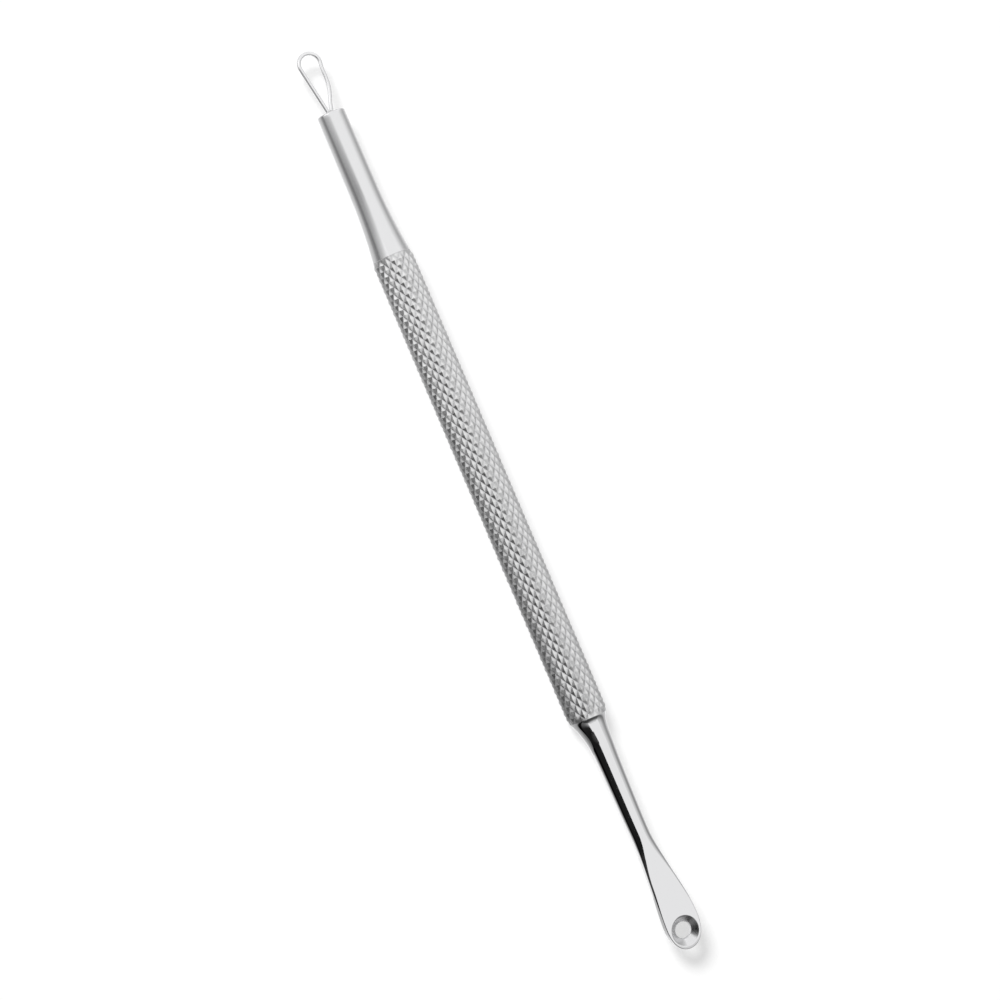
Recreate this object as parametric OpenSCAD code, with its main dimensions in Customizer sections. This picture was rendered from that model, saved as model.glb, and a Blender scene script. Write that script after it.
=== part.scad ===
// Double-ended steel skin tool: a wire loop at one end, a pierced spoon at the other
// and a diamond-knurled grip between them. Millimetres. +X runs along the tool
// towards the spoon and +Z is up. The tool lies on its grip, spoon face upwards.

/* [Knurled grip] */
// Length of the knurled grip, from shoulder to shoulder
grip_len = 61.7; // [45:0.1:75]
// Diameter over the crests of the knurl
grip_dia = 5.25; // [4.6:0.05:6.5]
// Depth of the grooves between the diamonds
knurl_depth = 0.22; // [0.1:0.02:0.4]
// Diamonds counted once round the grip
knurl_count = 16; // [12:1:24]
// Length of one diamond along the grip
knurl_pitch = 1.484; // [1.2:0.02:2.4]
// Drop from the crests to the edge of the grip's end faces
end_chamfer = 0.2; // [0.05:0.01:0.25]
// How far the tips' shoulders stand out past the grip's end faces
shoulder_lip = 0.02; // [0:0.01:0.05]

/* [Brazed joints] */
// Diameter of the tang on each tip
tang_dia = 2.9; // [2.2:0.05:3.4]
// Length of each tang inside the grip
tang_len = 12; // [8:0.5:16]
// Radial gap round a tang in its socket
tang_gap = 0.03; // [0.02:0.01:0.08]
// Space left between the end of a tang and the drilled cone
tang_end_gap = 0.5; // [0.2:0.1:1.5]
// Bevel on the end of each tang
tang_bevel = 0.3; // [0.1:0.05:0.6]
// Depth of the groove that holds the ring of braze
braze_depth = 0.25; // [0.1:0.05:0.4]
// Width of the ring of braze
braze_width = 1; // [0.5:0.1:2]
// Distance from the grip's end face to the ring of braze
braze_inset = 4; // [2:0.5:6]

/* [Loop neck] */
// Length of the neck outside the grip
neck_len = 19.2; // [14:0.1:26]
// Diameter of the neck at the loop's end
neck_tip_dia = 3.56; // [3:0.02:4.2]
// Diameter of the neck just before it flares
neck_mid_dia = 3.7; // [3.2:0.02:4.4]
// Length of the curved flare next to the shoulder
neck_flare_len = 9.4; // [5:0.1:12]
// Rounding of the edge at the loop's end
neck_edge = 0.22; // [0.1:0.02:0.4]
// Depth of the drilled socket for the legs of the loop
leg_socket_depth = 6.2; // [5.6:0.1:9]

/* [Wire loop] */
// Diameter of the wire
wire_dia = 0.5; // [0.35:0.05:0.6]
// Length of the loop outside the neck
loop_len = 8.15; // [6:0.05:12]
// Width of the loop over the wire
loop_width = 3.26; // [2.4:0.02:4]
// Gap between the two legs where they enter the neck
leg_gap = 0.04; // [0.02:0.01:0.1]
// Outward bow of the leg on the +Y side
leg_bow = 0.36; // [0:0.02:0.6]
// Length of each leg inside the neck
leg_depth = 5.5; // [4:0.1:5.6]
// Straight run of the legs outside the neck's end face
leg_run_out = 0.25; // [0.22:0.01:0.5]
// Wall of solder between a leg and its socket
solder_wall = 0.055; // [0.04:0.005:0.12]
// Height of the solder's crown above the neck's end face
solder_crown = 0.16; // [0.05:0.01:0.2]

/* [Extractor spoon] */
// Length of the spoon outside the grip
spoon_len = 30.75; // [27:0.05:40]
// Diameter of the shank before its taper, without the root flare
shank_dia = 3; // [2.6:0.05:3.4]
// Diameter of the shank at its waist
waist_dia = 2.46; // [2:0.02:2.8]
// Distance over which the root flare falls away to a third
root_flare = 1.65; // [1:0.05:2.4]
// Distance from the tip back to the waist
waist_reach = 15.25; // [14:0.05:18]
// Distance over which the waist widens into the paddle
widen_len = 12.2; // [10:0.1:15]
// Distance over which the round shank turns into the flat paddle
flatten_len = 6.6; // [5:0.1:9]
// Width of the paddle at its widest
paddle_width = 4.56; // [4:0.02:5.2]
// Thickness of the paddle
paddle_thick = 1.15; // [0.9:0.01:1.4]
// Rounding of the paddle's edges where the shank has turned flat
paddle_edge = 0.3; // [0.2:0.02:0.4]
// Rounding of the paddle's edges from its widest place round the tip
tip_edge = 0.1; // [0.08:0.02:0.2]
// Length of the rounded tip, from the widest place
tip_len = 4.1; // [3:0.05:5]
// Height of the shank's middle above the middle of the grip
shank_rise = 0.64; // [0:0.02:0.9]
// Distance over which the shank rises from the root
rise_len = 4.2; // [2.4:0.1:6]
// Distance from the tip back to the start of the upward bend
bend_reach = 18.4; // [16:0.05:20]
// Radius of the upward bend
bend_up_radius = 52; // [40:1:80]
// Radius of the bend that levels the paddle again
bend_down_radius = 20; // [18:1:40]
// Steepest slope of the shank, in degrees
bend_angle = 10.7; // [6:0.1:13]

/* [Pressing hole] */
// Diameter of the hole through the paddle
hole_dia = 2.08; // [1.2:0.02:2.2]
// Diameter of the dish's rim on the paddle's face
dish_dia = 3.68; // [2.8:0.02:3.8]
// Straight length of the hole below the dish
hole_land = 0.44; // [0.2:0.02:0.6]
// Distance from the tip of the paddle to the middle of the hole
hole_inset = 2.28; // [2.05:0.01:2.6]

/* [Hidden] */
$fn = 64;

steel = [0.74, 0.75, 0.76];
satin_steel = [0.70, 0.70, 0.71];
bright_steel = [0.86, 0.87, 0.88];
wire_steel = [0.80, 0.80, 0.81];
solder_grey = [0.66, 0.67, 0.68];
braze_grey = [0.72, 0.69, 0.60];

// Places along the tool, with the overall length centred on x = 0
overall_len = loop_len + neck_len + grip_len + spoon_len;
loop_tip_x = -overall_len / 2;
neck_tip_x = loop_tip_x + loop_len;
grip_x = neck_tip_x + neck_len;
spoon_x = grip_x + grip_len;

// The knurl is a lattice of points with a crest at every other one. Two crest lines lie
// on the table, one on each side, so the grip stands on a narrow flat between them
knurl_sides = 2 * knurl_count;
knurl_rows = round(2 * grip_len / knurl_pitch);
row_step = grip_len / knurl_rows;
crest_r = grip_dia / 2;
groove_r = crest_r - knurl_depth;
grip_end_r = crest_r - end_chamfer;
shoulder_r = grip_end_r + shoulder_lip;
axis_z = crest_r * cos(180 / knurl_sides);

// Sockets are drilled, and end in the cone that a drill's point leaves
drill_half_angle = 59;
socket_r = tang_dia / 2 + tang_gap;
socket_depth = tang_len + tang_end_gap;

// Gap round a film of braze or solder, and the depth by which joined shapes run together
film = 0.01;
overlap = 0.5;

// Moves what is drawn along Z from the origin to lie along X on the tool's axis
module on_axis(x, turned = false) {
    translate([x, 0, axis_z])
        rotate([0, turned ? -90 : 90, 0])
            children();
}

function knurl_radius(row, side) =
    row == 0 || row == knurl_rows ? grip_end_r
    : (row + side) % 2 == 0 ? crest_r
    : groove_r;

function knurl_point(row, side) =
    let (turn = (side + 0.5) * 360 / knurl_sides - 90, r = knurl_radius(row, side))
    [row * row_step, r * cos(turn), r * sin(turn)];

// Each lattice cell is split along the groove, so every diamond is a true pyramid
function knurl_cell(row, side) =
    let (next = (side + 1) % knurl_sides,
         a = row * knurl_sides + side,
         b = row * knurl_sides + next,
         c = (row + 1) * knurl_sides + next,
         d = (row + 1) * knurl_sides + side)
    (row + side) % 2 == 0 ? [[a, d, b], [c, b, d]] : [[a, d, c], [a, c, b]];

module knurled_bar() {
    points = [for (row = [0 : knurl_rows], side = [0 : knurl_sides - 1]) knurl_point(row, side)];
    cells = [for (row = [0 : knurl_rows - 1], side = [0 : knurl_sides - 1])
             each knurl_cell(row, side)];
    near_end = [for (side = [0 : knurl_sides - 1]) side];
    far_end = [for (side = [knurl_sides - 1 : -1 : 0]) knurl_rows * knurl_sides + side];
    polyhedron(points, concat(cells, [near_end, far_end]));
}

// A drilled socket that opens at z = 0 and runs up Z to its drilled cone
module drilled_socket(r, depth) {
    translate([0, 0, -overlap]) cylinder(r = r, h = depth + overlap);
    translate([0, 0, depth]) cylinder(r1 = r, r2 = 0, h = r / tan(drill_half_angle));
}

module knurled_grip() {
    color(steel) difference() {
        translate([grip_x, 0, axis_z]) knurled_bar();
        on_axis(grip_x) drilled_socket(socket_r, socket_depth);
        on_axis(spoon_x, turned = true) drilled_socket(socket_r, socket_depth);
    }
}

// A tang with its braze groove and bevelled end, running up Z from a shoulder at z = 0
module tang() {
    r = tang_dia / 2;
    groove = r - braze_depth;
    rotate_extrude() polygon([
        [0, -overlap],
        [r, -overlap],
        [r, braze_inset],
        [groove, braze_inset],
        [groove, braze_inset + braze_width],
        [r, braze_inset + braze_width],
        [r, tang_len - tang_bevel],
        [r - tang_bevel, tang_len],
        [0, tang_len]]);
}

module braze_ring() {
    inner = tang_dia / 2 - braze_depth + film;
    rotate_extrude() polygon([
        [inner, braze_inset + film],
        [socket_r - film, braze_inset + film],
        [socket_r - film, braze_inset + braze_width - film],
        [inner, braze_inset + braze_width - film]]);
}

module neck_braze_ring() {
    color(braze_grey) on_axis(grip_x) braze_ring();
}

module spoon_braze_ring() {
    color(braze_grey) on_axis(spoon_x, turned = true) braze_ring();
}

// The flare is an arc that starts along the neck and rises to the shoulder
flare_rise = shoulder_r - neck_mid_dia / 2;
flare_radius = (neck_flare_len * neck_flare_len + flare_rise * flare_rise) / (2 * flare_rise);
flare_steps = 12;
edge_steps = 5;
leg_y = (wire_dia + leg_gap) / 2;
leg_socket_r = leg_y + wire_dia / 2 + solder_wall;

function neck_edge_point(step) =
    let (turn = 90 * step / edge_steps)
    [neck_tip_dia / 2 - neck_edge + neck_edge * sin(turn), neck_edge - neck_edge * cos(turn)];

function neck_flare_point(step) =
    let (along = neck_flare_len * step / flare_steps)
    [neck_mid_dia / 2 + flare_radius - sqrt(flare_radius * flare_radius - along * along),
     neck_len - neck_flare_len + along];

module loop_neck() {
    outline = concat(
        [[0, 0]],
        [for (step = [0 : edge_steps]) neck_edge_point(step)],
        [for (step = [0 : flare_steps]) neck_flare_point(step)],
        [[0, neck_len]]);
    color(satin_steel) difference() {
        union() {
            on_axis(neck_tip_x) rotate_extrude() polygon(outline);
            on_axis(grip_x) tang();
        }
        on_axis(neck_tip_x) drilled_socket(leg_socket_r, leg_socket_depth);
    }
}

// The loop's middle line: two straight runs inside the neck, two legs that meet the
// round tip where they are tangent to it, and the tip's arc
wire_r = wire_dia / 2;
bight_r = loop_width / 2 - wire_r;
bight_x = loop_tip_x + wire_r + bight_r;
leg_start_x = neck_tip_x - leg_run_out;
leg_span = sqrt(pow(leg_start_x - bight_x, 2) + leg_y * leg_y);
tangent_turn = atan2(leg_y, leg_start_x - bight_x) + acos(bight_r / leg_span);
tangent_x = bight_x + bight_r * cos(tangent_turn);
tangent_y = bight_r * sin(tangent_turn);
leg_steps = 12;
bight_steps = 22;
wire_sides = 12;

function leg_point(step, side, bow) =
    let (share = step / leg_steps)
    [leg_start_x + (tangent_x - leg_start_x) * share,
     side * (leg_y + (tangent_y - leg_y) * share + bow * pow(sin(180 * share), 2))];

function bight_point(step) =
    let (turn = tangent_turn + (360 - 2 * tangent_turn) * step / bight_steps)
    [bight_x + bight_r * cos(turn), bight_r * sin(turn)];

wire_path = concat(
    [[neck_tip_x + leg_depth, leg_y]],
    [for (step = [0 : leg_steps]) leg_point(step, 1, leg_bow)],
    [for (step = [1 : bight_steps - 1]) bight_point(step)],
    [for (step = [leg_steps : -1 : 0]) leg_point(step, -1, 0)],
    [[neck_tip_x + leg_depth, -leg_y]]);

function unit(v) = v / norm(v);

// The direction across the wire at one point of a flat path
function across(path, i) =
    let (last = len(path) - 1,
         along = unit(path[min(i + 1, last)] - path[max(i - 1, 0)]))
    [-along[1], along[0]];

module wire(path) {
    rings = len(path);
    points = [for (i = [0 : rings - 1], k = [0 : wire_sides - 1])
        let (side = across(path, i),
             turn = 360 * k / wire_sides,
             p = path[i] + side * wire_r * cos(turn))
        [p[0], p[1], wire_r * sin(turn)]];
    skin = [for (i = [0 : rings - 2], k = [0 : wire_sides - 1])
        let (next = (k + 1) % wire_sides,
             a = i * wire_sides + k,
             b = i * wire_sides + next,
             c = a + wire_sides,
             d = b + wire_sides)
        each [[a, b, c], [b, d, c]]];
    near_end = [for (k = [wire_sides - 1 : -1 : 0]) k];
    far_end = [for (k = [0 : wire_sides - 1]) (rings - 1) * wire_sides + k];
    polyhedron(points, concat(skin, [near_end, far_end]));
}

module wire_loop() {
    color(wire_steel) translate([0, 0, axis_z]) wire(wire_path);
}

module loop_solder() {
    crown_r = leg_socket_r + neck_edge;
    crown_ball_r = (crown_r * crown_r + solder_crown * solder_crown) / (2 * solder_crown);
    color(solder_grey) difference() {
        on_axis(neck_tip_x) {
            cylinder(r = leg_socket_r - film, h = leg_depth - film);
            intersection() {
                translate([0, 0, crown_ball_r - solder_crown]) sphere(r = crown_ball_r);
                translate([0, 0, -2 * solder_crown]) cylinder(r = crown_r, h = 2 * solder_crown);
            }
        }
        for (side = [-1, 1])
            translate([0, side * leg_y, 0])
                on_axis(neck_tip_x - overlap)
                    cylinder(r = wire_r + film / 2, h = leg_depth + 2 * overlap);
    }
}

// The spoon's middle line in the plane of X and Z, measured from the shoulder: a gentle
// rise, a straight shank, an arc that bends up and an arc that levels the paddle
bend_at = spoon_len - bend_reach;
waist_at = spoon_len - waist_reach;
bend_up_len = bend_up_radius * sin(bend_angle);
bend_top = bend_up_radius * (1 - cos(bend_angle));
flat_at = waist_at + flatten_len;
paddle_wide_at = spoon_len - tip_len;

function ease(x) = (1 - cos(180 * min(max(x, 0), 1))) / 2;

function line_slope(x) =
    let (up = x - bend_at, down = up - bend_up_len)
    x < rise_len ? atan(shank_rise * PI / 2 / rise_len * sin(180 * x / rise_len))
    : up < 0 ? 0
    : down < 0 ? asin(up / bend_up_radius)
    : asin(sin(bend_angle) - down / bend_down_radius);

function line_height(x) =
    let (up = x - bend_at, down = up - bend_up_len)
    x < rise_len ? shank_rise * ease(x / rise_len)
    : up < 0 ? shank_rise
    : down < 0 ? shank_rise + bend_up_radius * (1 - cos(line_slope(x)))
    : shank_rise + bend_top + bend_down_radius * (cos(line_slope(x)) - cos(bend_angle));

// Half width, half thickness and how flat the section is, at a distance from the shoulder
function shank_half(x) =
    let (taper = min(x / waist_at, 1))
    (shank_dia + (waist_dia - shank_dia) * taper) / 2
    + (shoulder_r - shank_dia / 2) * exp(-x / root_flare);

tip_fullness = 3;

function tip_share(x) =
    let (past = max(x - paddle_wide_at, 0) / tip_len)
    sqrt(1 - pow(past, tip_fullness));

function half_width(x) =
    let (wide = ease((x - waist_at) / widen_len))
    (shank_half(x) + (paddle_width / 2 - shank_half(x)) * wide) * tip_share(x);

function flatness(x) = ease((x - waist_at) / flatten_len);

function half_thick(x) =
    shank_half(x) + (paddle_thick / 2 - shank_half(x)) * flatness(x);

function edge_size(x) =
    paddle_edge + (tip_edge - paddle_edge) * ease((x - flat_at) / (paddle_wide_at - flat_at));

// One point of a section whose four corners are quarter ellipses: full ones on the
// round shank, small ones on the flat paddle
corner_steps = 5;
section_points = 4 * (corner_steps + 1);

function section_point(x, i) =
    let (w = half_width(x),
         h = half_thick(x),
         edge_w = w + (min(edge_size(x), w) - w) * flatness(x),
         edge_h = h + (edge_size(x) - h) * flatness(x),
         corner = floor(i / (corner_steps + 1)),
         turn = 90 * corner + 90 * (i % (corner_steps + 1)) / corner_steps,
         right = corner == 0 || corner == 3 ? 1 : -1,
         top = corner < 2 ? 1 : -1)
    [right * (w - edge_w) + edge_w * cos(turn), top * (h - edge_h) + edge_h * sin(turn)];

function spoon_point(x, i) =
    let (slope = line_slope(x), p = section_point(x, i))
    [x - p[1] * sin(slope), p[0], line_height(x) + p[1] * cos(slope)];

// Stations crowd towards the flared root and towards the tip
root_steps = 14;
root_crowding = 1.8;
paddle_steps = 16;
tip_steps = 11;
tip_turn = 84;
stations = concat(
    [for (i = [0 : root_steps - 1]) waist_at * pow(i / root_steps, root_crowding)],
    [for (i = [0 : paddle_steps - 1]) waist_at + (paddle_wide_at - waist_at) * i / paddle_steps],
    [for (i = [0 : tip_steps]) paddle_wide_at + tip_len * sin(tip_turn * i / tip_steps)]);

module forged_blank() {
    last = len(stations) - 1;
    points = [for (x = stations, i = [0 : section_points - 1]) spoon_point(x, i)];
    skin = [for (row = [0 : last - 1], i = [0 : section_points - 1])
        let (next = (i + 1) % section_points,
             a = row * section_points + i,
             b = row * section_points + next,
             c = a + section_points,
             d = b + section_points)
        each [[a, c, b], [b, c, d]]];
    near_end = [for (i = [0 : section_points - 1]) i];
    far_end = [for (i = [section_points - 1 : -1 : 0]) last * section_points + i];
    polyhedron(points, concat(skin, [near_end, far_end]));
}

// The hole stands square to the paddle where it pierces it. The dish is a cone that
// opens from the top of the straight hole to the rim on the face
hole_at = spoon_len - hole_inset;
hole_slope = line_slope(hole_at);
hole_r = hole_dia / 2;
dish_r = dish_dia / 2;
dish_depth = paddle_thick - hole_land;
cone_height = dish_depth + overlap;
cone_r = hole_r + (dish_r - hole_r) * cone_height / dish_depth;

module pressing_hole() {
    translate([hole_at, 0, line_height(hole_at)]) rotate([0, -hole_slope, 0]) {
        translate([0, 0, -paddle_thick]) cylinder(r = hole_r, h = 2 * paddle_thick);
        translate([0, 0, paddle_thick / 2 - dish_depth])
            cylinder(r1 = hole_r, r2 = cone_r, h = cone_height);
    }
}

module extractor_spoon() {
    color(bright_steel) difference() {
        union() {
            translate([spoon_x, 0, axis_z]) forged_blank();
            on_axis(spoon_x, turned = true) tang();
        }
        translate([spoon_x, 0, axis_z]) pressing_hole();
    }
}

knurled_grip();
loop_neck();
wire_loop();
loop_solder();
extractor_spoon();
neck_braze_ring();
spoon_braze_ring();
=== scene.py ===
"""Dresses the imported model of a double-ended steel skin tool, and lights it.

A wire loop and a pierced spoon are brazed into the ends of a diamond-knurled grip.
Sizes are in millimetres and repeat those of the part's own source, and meshes are in
metres. Each piece takes the place of its CAD solid, and the two rings of braze inside
the joints keep their solids and get a finish. +X runs along the tool towards the spoon,
+Z is up, and the tool lies on a floor at z = 0.
"""

import logging
import math
from collections.abc import Callable
from dataclasses import dataclass
from enum import Enum
from functools import partial
from typing import Any

import bmesh
import bpy
import numpy as np
from mathutils import Matrix, Vector


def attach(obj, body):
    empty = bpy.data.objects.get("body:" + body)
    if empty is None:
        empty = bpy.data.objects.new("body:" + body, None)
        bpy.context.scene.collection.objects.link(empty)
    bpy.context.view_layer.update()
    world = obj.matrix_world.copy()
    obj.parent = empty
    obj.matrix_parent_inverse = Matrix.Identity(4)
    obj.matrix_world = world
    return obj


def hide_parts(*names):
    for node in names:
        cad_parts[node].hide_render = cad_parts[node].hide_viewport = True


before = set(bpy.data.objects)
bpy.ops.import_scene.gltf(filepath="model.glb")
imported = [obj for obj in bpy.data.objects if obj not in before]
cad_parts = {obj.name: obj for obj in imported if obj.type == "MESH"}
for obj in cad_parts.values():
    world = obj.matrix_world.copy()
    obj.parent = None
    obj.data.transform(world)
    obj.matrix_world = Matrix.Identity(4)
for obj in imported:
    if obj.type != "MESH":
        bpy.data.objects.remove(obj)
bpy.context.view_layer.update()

LOG = logging.getLogger("blackhead_extractor")
BODY = "root"
MM = 0.001
MERGE_MM = 0.0005
MATHS, MAP_RANGE, NOISE = "ShaderNodeMath", "ShaderNodeMapRange", "ShaderNodeTexNoise"
NOISE_LOW, NOISE_HIGH = 0.3, 0.7  # Most of a noise lies between these

Outline = list[tuple[float, float]]
Point = tuple[float, float, float]


class Slot(Enum):
    """The record's material slots."""

    KNURLED_STEEL = "knurled_steel"
    SATIN_STEEL = "satin_steel"
    SPRING_WIRE = "spring_wire"
    SOLDER = "solder"
    POLISHED_STEEL = "polished_steel"


class Towards(Enum):
    """The way that something runs along the tool."""

    LOOP = -1
    SPOON = 1


# ---- Helpers ----


def linear(colour: str) -> tuple[float, float, float, float]:
    """Turns an sRGB hex colour into the linear one that shaders use.

    Args:
        colour: The colour, such as "#E2E2E3".

    Returns:
        Red, green, blue and a full alpha.
    """
    shares = [int(colour[i : i + 2], 16) / 255 for i in (1, 3, 5)]
    red, green, blue = (
        s / 12.92 if s <= 0.04045 else ((s + 0.055) / 1.055) ** 2.4 for s in shares
    )
    return red, green, blue, 1.0


def per_metre(size: float) -> float:
    """Returns the texture scale at which one feature is size millimetres long."""
    return 1 / (size * MM)


def ease(x: np.ndarray) -> np.ndarray:
    """Returns the cosine ease of x, from 0 at 0 to 1 at 1 and level outside."""
    return (1 - np.cos(np.pi * np.clip(x, 0, 1))) / 2


def around(count: int) -> np.ndarray:
    """Returns the angles of a number of points evenly once round."""
    return np.arange(count) * 2 * math.pi / count


def socket(sockets: Any, name: str | int) -> bpy.types.NodeSocket:
    """Finds a node's socket by its number, or by its name among those in use.

    Args:
        sockets: The node's inputs or outputs.
        name: The socket's number or name.

    Returns:
        The socket.
    """
    if isinstance(name, int):
        return sockets[name]
    return next(s for s in sockets if s.enabled and s.name == name)


def feed(
    tree: bpy.types.NodeTree, node: bpy.types.Node, feeds: dict[str | int, Any]
) -> None:
    """Sets or links a node's inputs.

    Args:
        tree: The node's tree.
        node: The node.
        feeds: For an input, by name or by number, the node or the socket that feeds
            it, or else its constant. A node stands for its first output in use.
    """
    for name, value in feeds.items():
        if isinstance(value, bpy.types.Node):
            value = next(s for s in value.outputs if s.enabled)
        if isinstance(value, bpy.types.NodeSocket):
            tree.links.new(value, socket(node.inputs, name))
        else:
            socket(node.inputs, name).default_value = value


def add_node(
    tree: bpy.types.NodeTree,
    kind: str,
    feeds: dict[str | int, Any] | None = None,
    **settings: Any,
) -> bpy.types.Node:
    """Adds a node to a tree, with its settings, constants and links.

    Args:
        tree: The tree that the node goes into.
        kind: The node's type name.
        feeds: What feeds its inputs, as feed takes it.
        settings: The node's own properties.

    Returns:
        The new node.
    """
    node = tree.nodes.new(kind)
    for name, value in settings.items():
        setattr(node, name, value)
    feed(tree, node, feeds or {})
    return node


def empty_tree(owner: bpy.types.Material | bpy.types.World) -> bpy.types.NodeTree:
    """Gives a material or a world an empty node tree.

    Args:
        owner: The material or the world.

    Returns:
        The tree.
    """
    owner.use_nodes = True
    owner.node_tree.nodes.clear()
    return owner.node_tree


def new_tree(
    name: str, inputs: dict[str, tuple[str, Any]]
) -> tuple[bpy.types.NodeTree, Any, dict[str, Any]]:
    """Makes a Geometry Nodes tree with named inputs and one geometry output.

    Args:
        name: The tree's name.
        inputs: For each named input, the end of its socket's type and its value.

    Returns:
        The tree, its inputs' sockets, and each value by its socket's identifier.
    """
    tree = bpy.data.node_groups.new(name, "GeometryNodeTree")
    tree.is_modifier = True
    add = tree.interface.new_socket
    for side in ("INPUT", "OUTPUT"):
        add("Geometry", in_out=side, socket_type="NodeSocketGeometry")
    values = {}
    for label, (kind, value) in inputs.items():
        made = add(label, in_out="INPUT", socket_type=f"NodeSocket{kind}")
        values[made.identifier] = value
    return tree, tree.nodes.new("NodeGroupInput").outputs, values


def end_tree(
    tree: bpy.types.NodeTree, shape: bpy.types.Node, metal: bpy.types.NodeSocket
) -> None:
    """Ends a Geometry Nodes tree with plain meshes in one material.

    Args:
        tree: The tree.
        shape: The node that gives the finished shape.
        metal: The socket that gives the material.
    """
    real = add_node(tree, "GeometryNodeRealizeInstances", {"Geometry": shape})
    feeds = {"Geometry": real, "Material": metal}
    dressed = add_node(tree, "GeometryNodeSetMaterial", feeds)
    add_node(tree, "NodeGroupOutput", {"Geometry": dressed})


def run_tree(
    piece: bpy.types.Object, tree: bpy.types.NodeTree, values: dict[str, Any]
) -> None:
    """Runs a Geometry Nodes tree on a piece and keeps the result as a plain mesh.

    Args:
        piece: The object whose mesh feeds the tree, and which takes the result.
        tree: The tree.
        values: The value of each input, by its socket's identifier.
    """
    modifier = piece.modifiers.new(tree.name, "NODES")
    modifier.node_group = tree
    for identifier, value in values.items():
        modifier[identifier] = value
    graph = bpy.context.evaluated_depsgraph_get()
    made = bpy.data.meshes.new_from_object(piece.evaluated_get(graph))
    piece.modifiers.clear()
    piece.data = made
    made.name = piece.name


def new_object(name: str, data: bpy.types.ID) -> bpy.types.Object:
    """Makes an object from its data and puts it into the scene.

    Args:
        name: The object's name.
        data: Its mesh, lamp or lens.

    Returns:
        The object.
    """
    made = bpy.data.objects.new(name, data)
    bpy.context.scene.collection.objects.link(made)
    return made


def new_piece(name: str, *parts: "Skin") -> bpy.types.Object:
    """Makes one mesh object from skins whose borders meet.

    Args:
        name: The piece's name.
        parts: The skins, in millimetres.

    Returns:
        The new object, at the origin, with its mesh in metres.
    """
    points = [part.points for part in parts]
    faces: list[tuple[int, ...]] = []
    first = 0
    for part in parts:
        faces.extend(tuple(first + i for i in face) for face in part.faces)
        first += len(part.points)
    mesh = bpy.data.meshes.new(name)
    mesh.from_pydata((np.concatenate(points) * MM).tolist(), [], faces)
    return new_object(name, mesh)


def mark(piece: bpy.types.Object, name: str, values: np.ndarray) -> None:
    """Stores one number for each point of a piece, which its material reads."""
    made = piece.data.attributes.new(name, "FLOAT", "POINT")
    made.data.foreach_set("value", values)


def seal(piece: bpy.types.Object, crease: float) -> None:
    """Merges a piece's seams, turns its faces outwards and smooths it.

    Args:
        piece: The mesh object.
        crease: The angle in degrees past which an edge stays sharp.

    Raises:
        ValueError: The mesh isn't closed.
    """
    shape = bmesh.new()
    shape.from_mesh(piece.data)
    bmesh.ops.remove_doubles(shape, verts=shape.verts, dist=MERGE_MM * MM)
    bmesh.ops.recalc_face_normals(shape, faces=shape.faces)
    open_edges = sum(not edge.is_manifold for edge in shape.edges)
    shape.to_mesh(piece.data)
    shape.free()
    if open_edges:
        raise ValueError(f"{piece.name} has {open_edges} open edges")
    piece.data.shade_smooth()
    piece.data.set_sharp_from_angle(angle=math.radians(crease))


def tie(piece: bpy.types.Object, slot: Slot, *nodes: str) -> None:
    """Ties a finished piece to the frame and reports it.

    Args:
        piece: The finished piece.
        slot: The record's slot that its finish belongs to; not used.
        nodes: The CAD nodes that it stands for.
    """
    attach(piece, BODY)
    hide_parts(*nodes)
    piece.data.calc_loop_triangles()
    LOG.info("%s: %d triangles", piece.name, len(piece.data.loop_triangles))


@dataclass
class Skin:
    """Points in millimetres and the faces between them.

    Attributes:
        points: One row of x, y and z for each point.
        faces: For each face, its points by number.
    """

    points: np.ndarray
    faces: list[tuple[int, ...]]

    @classmethod
    def from_grid(cls, grid: np.ndarray, wraps: bool) -> "Skin":
        """Makes a skin from a grid of points.

        Args:
            grid: The points, by row and by column.
            wraps: Whether each row closes on itself.

        Returns:
            The skin, with one face for each cell.
        """
        rows, columns = grid.shape[:2]
        cells = columns if wraps else columns - 1
        faces = []
        for row in range(rows - 1):
            for column in range(cells):
                a = row * columns + column
                b = row * columns + (column + 1) % columns
                faces.append((a, b, b + columns, a + columns))
        return cls(grid.reshape(-1, 3), faces)

    @classmethod
    def lathed(cls, outline: Outline, turns: np.ndarray, height: float) -> "Skin":
        """Turns an outline about a line along X.

        Args:
            outline: The place along X and the radius of each point. A radius of 0
                makes a pole, and belongs at an end.
            turns: The angles of a ring's points, from +Y towards +Z.
            height: Height of the line that the outline turns about.

        Returns:
            The skin.
        """
        rings = np.array([p for p in outline if p[1] > 0])
        radius = rings[:, 1:]
        flat = np.broadcast_to(rings[:, :1], (len(rings), len(turns)))
        y, z = radius * np.cos(turns), height + radius * np.sin(turns)
        skin = cls.from_grid(np.stack([flat, y, z], axis=-1), wraps=True)
        for pole, ring in ((outline[0], 0), (outline[-1], len(rings) - 1)):
            if pole[1] == 0:
                first = ring * len(turns)
                skin.close((pole[0], 0.0, height), first, len(turns))
        return skin

    def close(self, pole: Point, first: int, count: int) -> None:
        """Closes a ring of points with a fan about a pole.

        Args:
            pole: The pole's place.
            first: The number of the ring's first point.
            count: How many points the ring has.
        """
        self.points = np.concatenate([self.points, [pole]])
        middle = len(self.points) - 1
        for i in range(count):
            self.faces.append((first + i, first + (i + 1) % count, middle))


# ---- Finishes ----


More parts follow.
